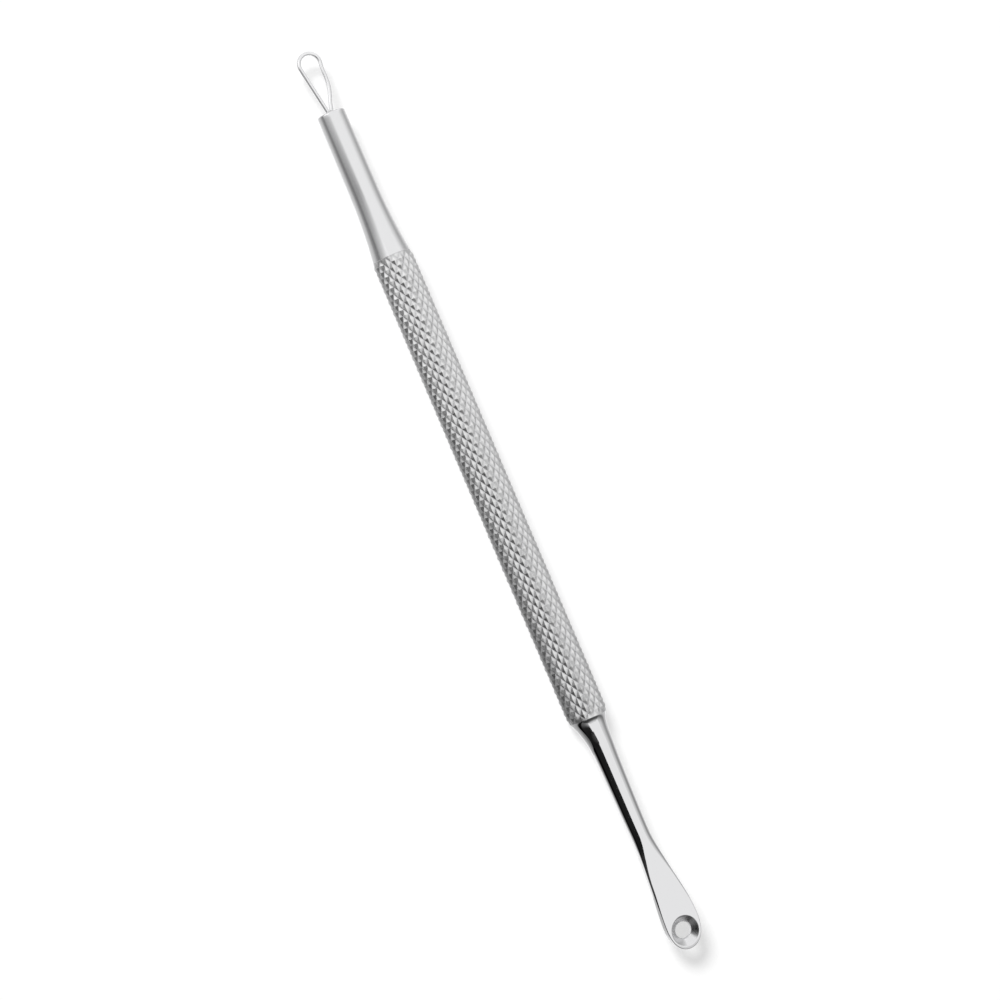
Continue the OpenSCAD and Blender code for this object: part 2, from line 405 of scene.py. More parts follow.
@dataclass(frozen=True)
class Finish:
    """What every finish of the tool has.

    Attributes:
        name: The material's common name, with how it was finished.
        colour: The colour that the metal reflects, in sRGB hex.
        roughness: The shader's roughness.
        relief: Height of the fine relief on the metal's skin, in mm.
    """

    name: str
    colour: str
    roughness: float
    relief: float

    def start(
        self,
    ) -> tuple[bpy.types.Material, Callable[..., bpy.types.Node], bpy.types.NodeSocket]:
        """Makes a metal material with this colour and roughness.

        Returns:
            The material, the function that adds a node to it, and the place on the
            piece.
        """
        material = bpy.data.materials.new(self.name)
        material.use_nodes = True
        tree = material.node_tree
        metal = {"Base Color": linear(self.colour), "Metallic": 1.0}
        shader = tree.nodes["Principled BSDF"]
        feed(tree, shader, {**metal, "Roughness": self.roughness})
        add = partial(add_node, tree)
        return material, add, add("ShaderNodeTexCoord").outputs["Object"]

    def end(
        self, material: bpy.types.Material, skin: bpy.types.Node, feeds: dict[str, Any]
    ) -> bpy.types.Material:
        """Gives the metal its relief and what else feeds its shader.

        Args:
            material: The material.
            skin: The node that shapes the relief.
            feeds: What else feeds the shader, by name.

        Returns:
            The material.
        """
        tree = material.node_tree
        depth = {"Strength": 1.0, "Distance": self.relief * MM}
        bump = add_node(tree, "ShaderNodeBump", {**depth, "Height": skin})
        feed(tree, tree.nodes["Principled BSDF"], {**feeds, "Normal": bump})
        return material

    @staticmethod
    def about(noise: bpy.types.Node, middle: float, change: float) -> dict[Any, Any]:
        """Returns the feeds that spread most of a noise about a middle value."""
        limits = {1: NOISE_LOW, 2: NOISE_HIGH, 3: middle - change, 4: middle + change}
        return {"Value": noise, **limits}


@dataclass(frozen=True)
class KnurledSteel(Finish):
    """Stainless bar with a rolled diamond knurl.

    The rolls burnish the crests, so they glint, and leave the grooves duller. The
    grooves' colour is also darker than the crests', which is painted shade in the
    recesses.

    Attributes:
        groove_shade_colour: Darker colour at the bottom of the grooves, which is
            painted shade in the recesses.
        groove_roughness: Roughness at the bottom of the grooves.
        burnish_and_shade_end: Share of the knurl's height from which the crests'
            burnish is full and the grooves' painted shade is gone.
        grain: Size of the grain that the rolls leave, in mm.
        patch: Size of the slow changes in gloss along the bar, in mm.
        patch_change: How far those changes move the burnish, as a share of the height.
    """

    name: str = "knurled_stainless_steel"
    colour: str = "#E8E8E8"
    roughness: float = 0.38
    relief: float = 0.006
    # The darker groove colour is painted shade in the recesses
    groove_shade_colour: str = "#D4D4D5"
    groove_roughness: float = 0.45
    burnish_and_shade_end: float = 0.6
    grain: float = 0.16
    patch: float = 2.4
    patch_change: float = 0.12

    def build(self) -> bpy.types.Material:
        """Makes the material, which reads the height that the knurl's mesh carries and
        darkens the colour towards the grooves as painted shade.

        Returns:
            The material.
        """
        material, add, place = self.start()
        height = add("ShaderNodeAttribute", attribute_name="knurl_height")
        height = height.outputs["Fac"]
        at = {"Vector": place}
        patch = add(NOISE, {**at, "Scale": per_metre(self.patch), "Detail": 3.0})
        grain = add(NOISE, {**at, "Scale": per_metre(self.grain), "Detail": 2.0})
        wear = add(MAP_RANGE, self.about(patch, 0.0, self.patch_change))
        crest = add(MATHS, {0: height, 1: wear}, operation="ADD")
        crest = add(MAP_RANGE, {"Value": crest, 1: 0.0, 2: self.burnish_and_shade_end})
        # The colour darkens towards the grooves: painted shade in the recesses, beside
        # the real change in gloss
        colours = {"A": linear(self.groove_shade_colour), "B": linear(self.colour)}
        colour = add("ShaderNodeMix", {"Factor": crest, **colours}, data_type="RGBA")
        limits = {3: self.groove_roughness, 4: self.roughness}
        gloss = add(MAP_RANGE, {"Value": crest, **limits})
        return self.end(material, grain, {"Base Color": colour, "Roughness": gloss})


@dataclass(frozen=True)
class StreakedSteel(Finish):
    """Stainless steel drawn lengthwise through a fine abrasive.

    It has a soft gloss, with faint streaks that run the length of the tool.

    Attributes:
        streak_len: Length of a streak, in mm.
        streak_width: Width of a streak, in mm.
        gloss_change: How far the roughness changes either way.
    """

    name: str = "satin_stainless_steel"
    colour: str = "#E6E6E7"
    roughness: float = 0.2
    relief: float = 0.003
    streak_len: float = 9.0
    streak_width: float = 0.2
    gloss_change: float = 0.05

    def build(self) -> bpy.types.Material:
        """Makes the material.

        Returns:
            The material.
        """
        material, add, place = self.start()
        fine = per_metre(self.streak_width)
        stretch = (per_metre(self.streak_len), fine, fine)
        stretched = add("ShaderNodeMapping", {"Vector": place, "Scale": stretch})
        detail = {"Scale": 1.0, "Detail": 4.0, "Roughness": 0.6}
        streaks = add(NOISE, {"Vector": stretched, **detail})
        gloss = add(MAP_RANGE, self.about(streaks, self.roughness, self.gloss_change))
        return self.end(material, streaks, {"Roughness": gloss})


@dataclass(frozen=True)
class BuffedSteel(Finish):
    """Stainless steel buffed to a mirror, but for the dish and the edge of the tip.

    It shows the studio almost sharply, through a haze of fine wiping scratches. Where
    no buff reaches it is satin, so the dish and the tip's edge hold a soft grey.

    Attributes:
        haze: Size of the patches of haze, in mm.
        haze_change: How far the roughness changes either way.
        dull_roughness: Roughness where no buff reaches.
        ripple: Size of the slow waves that hand buffing leaves, in mm.
    """

    name: str = "mirror_polished_stainless_steel"
    colour: str = "#E3E3E4"
    roughness: float = 0.08
    relief: float = 0.004
    haze: float = 1.8
    haze_change: float = 0.03
    dull_roughness: float = 0.25
    ripple: float = 2.5

    def build(self) -> bpy.types.Material:
        """Makes the material, which reads how dull the spoon's mesh is.

        Returns:
            The material.
        """
        material, add, place = self.start()
        at = {"Vector": place}
        haze = add(NOISE, {**at, "Scale": per_metre(self.haze), "Detail": 5.0})
        ripple = add(NOISE, {**at, "Scale": per_metre(self.ripple), "Detail": 1.0})
        buffed = add(MAP_RANGE, self.about(haze, self.roughness, self.haze_change))
        dull = add("ShaderNodeAttribute", attribute_name="dull").outputs["Fac"]
        gloss = add(MAP_RANGE, {"Value": dull, 3: buffed, 4: self.dull_roughness})
        return self.end(material, ripple, {"Roughness": gloss})


@dataclass(frozen=True)
class FilledMetal(Finish):
    """A metal that has flowed and set, such as solder or braze.

    It is duller than the steel round it, with a slightly uneven skin.

    Attributes:
        lump: Size of the unevenness, in mm.
        gloss_change: How far the roughness changes either way.
    """

    name: str = "silver_solder"
    colour: str = "#D2D2D2"
    roughness: float = 0.3
    relief: float = 0.012
    lump: float = 0.35
    gloss_change: float = 0.08

    def build(self) -> bpy.types.Material:
        """Makes the material.

        Returns:
            The material.
        """
        material, add, place = self.start()
        lump = {"Vector": place, "Scale": per_metre(self.lump), "Detail": 3.0}
        lumps = add(NOISE, lump)
        gloss = add(MAP_RANGE, self.about(lumps, self.roughness, self.gloss_change))
        return self.end(material, lumps, {"Roughness": gloss})


# ---- The tool ----


@dataclass(frozen=True)
class Tool:
    """Sizes that several pieces share, and the places that follow from them.

    Attributes:
        loop_len: Length of the wire loop outside the neck.
        neck_len: Length of the neck outside the grip.
        grip_len: Length of the knurled grip.
        spoon_len: Length of the spoon outside the grip.
        grip_dia: Diameter over the crests of the knurl.
        diamonds_round: Diamonds counted once round the grip.
        end_chamfer: Drop from the crests to the edge of the grip's end faces.
        shoulder_lip: How far the tips' shoulders stand out past those edges.
        drill_half_angle: Half angle of a drill's point, in degrees.
        socket_gap: Radial gap round a tang in its socket.
        socket_end_gap: Space left past the end of a tang.
    """

    loop_len: float = 8.15
    neck_len: float = 19.2
    grip_len: float = 61.7
    spoon_len: float = 30.75
    grip_dia: float = 5.25
    diamonds_round: int = 16
    end_chamfer: float = 0.2
    shoulder_lip: float = 0.02
    drill_half_angle: float = 59.0
    socket_gap: float = 0.03
    socket_end_gap: float = 0.5

    @property
    def loop_tip_x(self) -> float:
        """The loop's far end. The whole length is centred on x = 0."""
        return -(self.loop_len + self.neck_len + self.grip_len + self.spoon_len) / 2

    @property
    def neck_tip_x(self) -> float:
        """The neck's end face, where the loop leaves it."""
        return self.loop_tip_x + self.loop_len

    @property
    def grip_x(self) -> float:
        """The grip's end face on the loop's side."""
        return self.neck_tip_x + self.neck_len

    @property
    def spoon_x(self) -> float:
        """The grip's end face on the spoon's side."""
        return self.grip_x + self.grip_len

    @property
    def crest_r(self) -> float:
        """Radius over the crests of the knurl."""
        return self.grip_dia / 2

    @property
    def grip_end_r(self) -> float:
        """Radius at the edge of the grip's end faces."""
        return self.crest_r - self.end_chamfer

    @property
    def shoulder_r(self) -> float:
        """Radius of both tips where they meet the grip."""
        return self.grip_end_r + self.shoulder_lip

    @property
    def axis_z(self) -> float:
        """Height of the tool's axis: two lines of crests stand on the floor."""
        return self.crest_r * math.cos(math.pi / (2 * self.diamonds_round))

    def drilled(self, r: float) -> float:
        """Returns how far the point of a drill of radius r reaches."""
        return r / math.tan(math.radians(self.drill_half_angle))


@dataclass(frozen=True)
class Tang:
    """The round tang that a tip has inside the grip.

    Attributes:
        dia: Its diameter.
        length: Its length from the shoulder.
        bevel: Bevel on its end.
        groove_depth: Depth of the groove for the ring of braze.
        groove_width: Width of that groove.
        groove_inset: Distance from the shoulder to that groove.
    """

    dia: float = 2.9
    length: float = 12.0
    bevel: float = 0.3
    groove_depth: float = 0.25
    groove_width: float = 1.0
    groove_inset: float = 4.0

    def outline(self, shoulder_x: float, towards: Towards) -> Outline:
        """Lists the outline from the shoulder to the pole on the tang's end.

        Args:
            shoulder_x: Where the tip's shoulder is.
            towards: The way that the tang runs from its shoulder.

        Returns:
            The place along X and the radius of each point.
        """
        r = self.dia / 2
        groove_end = self.groove_inset + self.groove_width
        steps = [
            (0.0, r),
            (self.groove_inset, r),
            (self.groove_inset, r - self.groove_depth),
            (groove_end, r - self.groove_depth),
            (groove_end, r),
            (self.length - self.bevel, r),
            (self.length, r - self.bevel),
            (self.length, 0.0),
        ]
        return [(shoulder_x + towards.value * along, r) for along, r in steps]


@dataclass
class KnurledGrip:
    """The grip: a bar with a rolled diamond knurl and a drilled socket in each end.

    One diamond is a low pyramid on a lattice whose rows are half a diamond apart. A
    Geometry Nodes tree lays it at every other point of the lattice, wraps the sheet
    round the bar and fades it out at both ends, as the lathe tool's chamfer does.

    Attributes:
        tool: The shared sizes.
        tang: The tang that each socket takes.
        depth: Depth of the knurl's grooves.
        pitch: Length of one diamond along the grip.
        levels: For each ring of a diamond, its share of the way out to the groove and
            its share of the knurl's height.
        unevenness: Largest share by which a diamond falls short of the full height.
        fade: Length of the fade at each end, in rows of the lattice.
        raggedness: How far that length changes round the bar, in rows.
        ragged_scale: Scale of those changes, where the bar's radius is 1.
        seed: Seed of the diamonds' heights.
        crease: Angle past which an edge stays sharp.
    """

    tool: Tool
    tang: Tang
    depth: float = 0.22
    pitch: float = 1.484
    levels: tuple[tuple[float, float], ...] = (
        (0.14, 0.92),
        (0.5, 0.52),
        (0.9, 0.08),
        (1.0, 0.0),
    )
    unevenness: float = 0.1
    fade: float = 1.1
    raggedness: float = 0.8
    ragged_scale: float = 1.7
    seed: int = 7
    crease: float = 20.0

    @property
    def rows(self) -> int:
        """Rows of the lattice along the grip."""
        return round(2 * self.tool.grip_len / self.pitch)

    def diamond(self) -> Skin:
        """Makes one diamond, flat on the lattice: rows along X and sides along Y.

        Returns:
            The diamond, with its share of the height along Z.
        """
        corners = np.array([[1, 0], [0, 1], [-1, 0], [0, -1]], float)
        middles = (corners + np.roll(corners, -1, axis=0)) / 2
        border = np.stack([corners, middles], axis=1).reshape(-1, 2)
        grid = np.array(
            [[(*(p * share), height) for p in border] for share, height in self.levels]
        )
        skin = Skin.from_grid(grid, wraps=True)
        skin.close((0.0, 0.0, 1.0), 0, len(border))
        skin.points /= MM
        return skin

    def knurl_tree(
        self, steel: bpy.types.Material
    ) -> tuple[bpy.types.NodeTree, dict[str, Any]]:
        """Builds the tree that lays the diamonds round the bar.

        Args:
            steel: The grip's material.

        Returns:
            The tree, and the value of each input by its socket's identifier.
        """
        tool = self.tool
        inputs = {
            "Rows": ("Int", self.rows),
            "Diamonds round": ("Int", tool.diamonds_round),
            "Row step": ("Float", tool.grip_len / self.rows * MM),
            "Start": ("Float", tool.grip_x * MM),
            "Axis height": ("Float", tool.axis_z * MM),
            "Groove radius": ("Float", (tool.crest_r - self.depth) * MM),
            "Knurl depth": ("Float", self.depth * MM),
            "End radius": ("Float", tool.grip_end_r * MM),
            "Least height": ("Float", 1 - self.unevenness),
            "Fade": ("Float", self.fade),
            "Raggedness": ("Float", self.raggedness),
            "Ragged scale": ("Float", self.ragged_scale),
            "Seed": ("Int", self.seed),
            "Merge distance": ("Float", MERGE_MM * MM),
            "Steel": ("Material", steel),
        }
        tree, given, values = new_tree("diamond_knurl", inputs)
        add = partial(add_node, tree)
        rows, count = given["Rows"], given["Diamonds round"]
        split, join = "ShaderNodeSeparateXYZ", "ShaderNodeCombineXYZ"
        number = {"data_type": "FLOAT"}

        # Places of the diamonds: a grid of points, with every odd row moved one side on
        last = add(MATHS, {0: count, 1: 1.0}, operation="SUBTRACT")
        size = {
            "Size X": rows,
            "Size Y": add(MATHS, {0: last, 1: 2.0}, operation="MULTIPLY"),
            "Vertices X": add(MATHS, {0: rows, 1: 1.0}, operation="ADD"),
            "Vertices Y": count,
        }
        grid = add("GeometryNodeMeshGrid", size)
        at = add(split, {"Vector": add("GeometryNodeInputPosition")}).outputs
        half = add(MATHS, {0: rows, 1: 2.0}, operation="DIVIDE")
        row = add(MATHS, {0: at["X"], 1: half}, operation="ADD")
        row = add(MATHS, {0: row}, operation="ROUND")
        odd = add(MATHS, {0: row, 1: 2.0}, operation="MODULO")
        side = add(MATHS, {0: at["Y"], 1: last}, operation="ADD")
        side = add(MATHS, {0: side, 1: odd}, operation="ADD")
        places = {"Geometry": grid, "Position": add(join, {0: row, 1: side})}
        places = add("GeometryNodeSetPosition", places)
        limits = {"Min": given["Least height"], "Max": 1.0, "Seed": given["Seed"]}
        uneven = add("FunctionNodeRandomValue", limits, **number)
        stored = {"Geometry": places, "Name": "diamond_height", "Value": uneven}
        store = "GeometryNodeStoreNamedAttribute"
        places = add(store, stored, domain="POINT", **number)
        laid = {"Points": places, "Instance": given["Geometry"]}
        laid = add("GeometryNodeInstanceOnPoints", laid)
        sheet = add("GeometryNodeRealizeInstances", {"Geometry": laid})

        # The halves of the end diamonds that lie past the bar's ends go
        on = add(split, {"Vector": add("GeometryNodeInputPosition")}).outputs
        before = add(MATHS, {0: on["X"], 1: 0.0}, operation="LESS_THAN")
        after = add(MATHS, {0: on["X"], 1: rows}, operation="GREATER_THAN")
        past = add(MATHS, {0: before, 1: after}, operation="MAXIMUM")
        gone = {"Geometry": sheet, "Selection": past}
        sheet = add("GeometryNodeDeleteGeometry", gone, domain="FACE")

        # Where a point of the sheet goes on the bar, with the first side half a side up
        step = add(MATHS, {0: math.pi, 1: count}, operation="DIVIDE")
        turn = add(MATHS, {0: on["Y"], 1: 0.5}, operation="ADD")
        turn = {0: turn, 1: step, 2: -math.pi / 2}
        turn = add(MATHS, turn, operation="MULTIPLY_ADD")
        across = add(MATHS, {0: turn}, operation="COSINE")
        up = add(MATHS, {0: turn}, operation="SINE")
        noise = {"Vector": add(join, {0: on["X"], 1: across, 2: up}), "Detail": 2.0}
        noise = add(NOISE, {**noise, "Scale": given["Ragged scale"]})
        ragged = add(MATHS, {0: noise, 1: 0.5}, operation="SUBTRACT")
        fade = {0: ragged, 1: given["Raggedness"], 2: given["Fade"]}
        fade = add(MATHS, fade, operation="MULTIPLY_ADD")
        to_far_end = add(MATHS, {0: rows, 1: on["X"]}, operation="SUBTRACT")
        from_end = add(MATHS, {0: on["X"], 1: to_far_end}, operation="MINIMUM")
        full = {"Value": from_end, "From Max": fade}
        full = add(MAP_RANGE, full, interpolation_type="SMOOTHSTEP")
        tall = {"Name": "diamond_height"}
        tall = add("GeometryNodeInputNamedAttribute", tall, **number)
        height = add(MATHS, {0: on["Z"], 1: tall}, operation="MULTIPLY")
        knurled = {0: height, 1: given["Knurl depth"], 2: given["Groove radius"]}
        knurled = add(MATHS, knurled, operation="MULTIPLY_ADD")
        radius = {"Factor": full, "A": given["End radius"], "B": knurled}
        radius = add("ShaderNodeMix", radius, **number)
        x = {0: on["X"], 1: given["Row step"], 2: given["Start"]}
        x = add(MATHS, x, operation="MULTIPLY_ADD")
        y = add(MATHS, {0: radius, 1: across}, operation="MULTIPLY")
        z = {0: radius, 1: up, 2: given["Axis height"]}
        z = add(MATHS, z, operation="MULTIPLY_ADD")
        stored = {"Geometry": sheet, "Name": "knurl_height", "Value": height}
        kept = add(store, stored, domain="POINT", **number)
        wrapped = {"Geometry": kept, "Position": add(join, {0: x, 1: y, 2: z})}
        wrapped = add("GeometryNodeSetPosition", wrapped)
        seams = {"Geometry": wrapped, "Distance": given["Merge distance"]}
        end_tree(tree, add("GeometryNodeMergeByDistance", seams), given["Steel"])
        return tree, values

    def socket_lining(self, towards: Towards) -> Skin:
        """Makes one end face and its drilled socket.

        Args:
            towards: The end of the grip that the face is on.

        Returns:
            The skin from the end face's edge to the bottom of the drilled cone. Its
            edge has a point for each point that the knurl has there.
        """
        tool = self.tool
        face_x = tool.spoon_x if towards is Towards.SPOON else tool.grip_x
        r = self.tang.dia / 2 + tool.socket_gap
        depth = self.tang.length + tool.socket_end_gap
        end = depth + tool.drilled(r)
        steps = [(0.0, tool.grip_end_r), (0.0, r), (depth, r), (end, 0.0)]
        outline = [(face_x - towards.value * along, radius) for along, radius in steps]
        shares = sorted({s for s, _ in self.levels} | {0.0})
        one_diamond = [*shares, *(2 - s for s in reversed(shares[:-1]))]
        odd = self.rows % 2 if towards is Towards.SPOON else 0
        diamonds = range(tool.diamonds_round)
        sides = np.array([odd + 2 * i + s for i in diamonds for s in one_diamond])
        sides = np.unique(np.round(sides % (2 * len(diamonds)), 9))
        turns = (sides + 0.5) * (math.pi / len(diamonds)) - math.pi / 2
        return Skin.lathed(outline, turns, tool.axis_z)

    def build(self, steel: bpy.types.Material) -> None:
        """Makes the grip.

        Args:
            steel: Its material.
        """
        grip = new_piece("grip_bar", self.diamond())
        run_tree(grip, *self.knurl_tree(steel))
        linings = new_piece("grip_sockets", *map(self.socket_lining, Towards))
        shape = bmesh.new()
        shape.from_mesh(grip.data)
        shape.from_mesh(linings.data)
        shape.to_mesh(grip.data)
        shape.free()
        bpy.data.objects.remove(linings)
        seal(grip, self.crease)
        tie(grip, Slot.KNURLED_STEEL, "knurled_grip")


@dataclass
class LoopNeck:
    """The round neck that holds the wire loop, turned and then flared to the grip.

    Attributes:
        tool: The shared sizes.
        tang: Its tang inside the grip.
        tip_dia: Diameter at the loop's end.
        mid_dia: Diameter just before the flare.
        flare_len: Length of the curved flare next to the shoulder.
        edge: Rounding of the edge at the loop's end.
        socket_r: Radius of the drilled socket for the legs.
        socket_depth: Depth of that socket.
        shoulder_edge: Rounding of the shoulder's edge.
        edge_points, taper_points, flare_points: Points along each stretch.
        sides: Points once round.
        crease: Angle past which an edge stays sharp.
    """

    tool: Tool
    tang: Tang
    tip_dia: float = 3.56
    mid_dia: float = 3.7
    flare_len: float = 9.4
    edge: float = 0.22
    socket_r: float = 0.575
    socket_depth: float = 6.2
    shoulder_edge: float = 0.03
    edge_points: int = 9
    taper_points: int = 25
    flare_points: int = 41
    sides: int = 160
    crease: float = 30.0

    def outline(self) -> Outline:
        """Lists the outline from the bottom of the socket to the end of the tang.

        Returns:
            The place along X and the radius of each point.
        """
        tool, edge = self.tool, self.edge
        tip_x, tip_r, mid_r = tool.neck_tip_x, self.tip_dia / 2, self.mid_dia / 2
        bottom = tip_x + self.socket_depth
        points = [(bottom + tool.drilled(self.socket_r), 0.0)]
        points += [(bottom, self.socket_r), (tip_x, self.socket_r)]
        for turn in np.linspace(0, math.pi / 2, self.edge_points):
            x, r = 1 - math.cos(turn), 1 - math.sin(turn)
            points.append((tip_x + edge * x, tip_r - edge * r))
        flare_x = tool.grip_x - self.flare_len
        for share in np.linspace(0, 1, self.taper_points)[1:-1]:
            x = tip_x + edge + (flare_x - tip_x - edge) * share
            points.append((x, tip_r + (mid_r - tip_r) * share))
        rise = tool.shoulder_r - mid_r
        radius = (self.flare_len**2 + rise**2) / (2 * rise)
        end = self.flare_len - self.shoulder_edge
        for along in np.linspace(0, end, self.flare_points):
            climbed = radius - math.sqrt(radius**2 - along**2)
            points.append((flare_x + along, mid_r + climbed))
        points.append((tool.grip_x, tool.shoulder_r - self.shoulder_edge))
        return points + self.tang.outline(tool.grip_x, Towards.SPOON)

    def build(self, steel: bpy.types.Material) -> None:
        """Makes the neck.

        Args:
            steel: Its material.
        """
        skin = Skin.lathed(self.outline(), around(self.sides), self.tool.axis_z)
        neck = new_piece("turned_neck", skin)
        neck.data.materials.append(steel)
        seal(neck, self.crease)
        tie(neck, Slot.SATIN_STEEL, "loop_neck")


@dataclass
class WireLoop:
    """The loop of spring wire. Its two legs run side by side into the neck.

    Attributes:
        tool: The shared sizes.
        wire_dia: Diameter of the wire.
        width: Width of the loop over the wire.
        leg_gap: Gap between the legs where they enter the neck.
        leg_bow: Outward bow of the leg on the +Y side.
        leg_depth: Length of each leg inside the neck.
        run_out: Straight run of the legs outside the neck's end face.
        run_in: Distance from that run's outer end to the leg's next point, inside.
        leg_points, bight_points: Points along a leg and round the loop's end.
        sides: Points once round the wire.
        crease: Angle past which an edge stays sharp.
    """

    tool: Tool
    wire_dia: float = 0.5
    width: float = 3.26
    leg_gap: float = 0.04
    leg_bow: float = 0.36
    leg_depth: float = 5.5
    run_out: float = 0.25
    run_in: float = 1.0
    leg_points: int = 40
    bight_points: int = 64
    sides: int = 20
    crease: float = 50.0

    @property
    def leg_y(self) -> float:
        """Distance from the tool's axis to the middle of a leg inside the neck."""
        return (self.wire_dia + self.leg_gap) / 2

    def path(self) -> np.ndarray:
        """Lists the wire's middle line.

        Returns:
            One row of x and y for each point, from one leg's end to the other's.
        """
        tool = self.tool
        bight_r = (self.width - self.wire_dia) / 2
        bight_x = tool.loop_tip_x + self.width / 2
        start_x = tool.neck_tip_x - self.run_out
        inside_x = tool.neck_tip_x + self.leg_depth
        span = math.hypot(start_x - bight_x, self.leg_y)
        tangent = math.atan2(self.leg_y, start_x - bight_x) + math.acos(bight_r / span)
        share = np.linspace(0, 1, self.leg_points)
        leg_x = start_x + (bight_x + bight_r * math.cos(tangent) - start_x) * share
        leg_y = self.leg_y + (bight_r * math.sin(tangent) - self.leg_y) * share
        bowed_y = leg_y + self.leg_bow * np.sin(np.pi * share) ** 2
        turns = np.linspace(tangent, 2 * math.pi - tangent, self.bight_points)[1:-1]
        bight = np.column_stack([np.cos(turns), np.sin(turns)]) * bight_r
        inside = np.array([[inside_x, self.leg_y], [start_x + self.run_in, self.leg_y]])
        near = np.column_stack([leg_x, bowed_y])
        far = np.column_stack([leg_x, -leg_y])[::-1]
        ends = inside, inside[::-1] * [1, -1]
        return np.concatenate([ends[0], near, bight + [bight_x, 0.0], far, ends[1]])

    def wire_tree(
        self, wire: bpy.types.Material
    ) -> tuple[bpy.types.NodeTree, dict[str, Any]]:
        """Builds the tree that gives the path its round section.

        Args:
            wire: The wire's material.

        Returns:
            The tree, and the value of each input by its socket's identifier.
        """
        inputs = {
            "Wire radius": ("Float", self.wire_dia / 2 * MM),
            "Sides": ("Int", self.sides),
            "Wire": ("Material", wire),
        }
        tree, given, values = new_tree("drawn_wire", inputs)
        line = add_node(tree, "GeometryNodeMeshToCurve", {"Mesh": given["Geometry"]})
        circle = {"Resolution": given["Sides"], "Radius": given["Wire radius"]}
        section = add_node(tree, "GeometryNodeCurvePrimitiveCircle", circle)
        swept = {"Curve": line, "Profile Curve": section, "Fill Caps": True}
        swept = add_node(tree, "GeometryNodeCurveToMesh", swept)
        end_tree(tree, swept, given["Wire"])
        return tree, values

    def build(self, wire: bpy.types.Material) -> None:
        """Makes the loop.

        Args:
            wire: Its material.
        """
        path = self.path()
        points = np.column_stack([path, np.full(len(path), self.tool.axis_z)]) * MM
        edges = [(i, i + 1) for i in range(len(path) - 1)]
        mesh = bpy.data.meshes.new("spring_loop")
        mesh.from_pydata(points.tolist(), edges, [])
        loop = new_object("spring_loop", mesh)
        run_tree(loop, *self.wire_tree(wire))
        seal(loop, self.crease)
        tie(loop, Slot.SPRING_WIRE, "wire_loop")


@dataclass
class LoopSolder:
    """The solder that fills the neck's socket and crowns over its mouth.

    Attributes:
        tool: The shared sizes.
        neck: The neck that it fills.
        loop: The loop that it holds.
        crown: Height of the crown above the neck's end face.
        film: Gap round the fill.
        creep: Height by which the solder creeps up each leg.
        creep_reach: How far from a leg that creep reaches.
        clear: Height above the neck's end face from which the solder creeps.
        crown_points: Points from the middle of the crown to its edge.
        sides: Points once round.
        crease: Angle past which an edge stays sharp.
    """

    tool: Tool
    neck: LoopNeck
    loop: WireLoop
    crown: float = 0.16
    film: float = 0.01
    creep: float = 0.12
    creep_reach: float = 0.16
    clear: float = 0.001
    crown_points: int = 19
    sides: int = 64
    crease: float = 40.0

    def build(self, solder: bpy.types.Material) -> None:
        """Makes the solder.

        Args:
            solder: Its material.
        """
        face_x, r = self.tool.neck_tip_x, self.neck.socket_r + self.neck.edge
        ball_r = (r**2 + self.crown**2) / (2 * self.crown)
        outline = [(face_x - self.crown, 0.0)]
        for radius in np.linspace(0, r, self.crown_points)[1:]:
            sag = ball_r - math.sqrt(ball_r**2 - radius**2)
            outline.append((face_x - self.crown + sag, radius))
        fill_r = self.neck.socket_r - self.film
        end_x = face_x + self.loop.leg_depth - self.film
        outline += [(face_x, fill_r), (end_x, fill_r), (end_x, 0.0)]
        skin = Skin.lathed(outline, around(self.sides), self.tool.axis_z)
        x, y, z = skin.points.T
        for side in (-1, 1):
            away = np.hypot(y - side * self.loop.leg_y, z - self.tool.axis_z)
            beside = np.maximum(away - self.loop.wire_dia / 2, 0)
            creep = self.creep * np.exp(-beside / self.creep_reach)
            creep = np.minimum(creep, (face_x - x) * 2)
            skin.points[:, 0] -= np.where(x < face_x - self.clear, creep, 0)
        crown = new_piece("solder_fill", skin)
        crown.data.materials.append(solder)
        seal(crown, self.crease)
        tie(crown, Slot.SOLDER, "loop_solder")


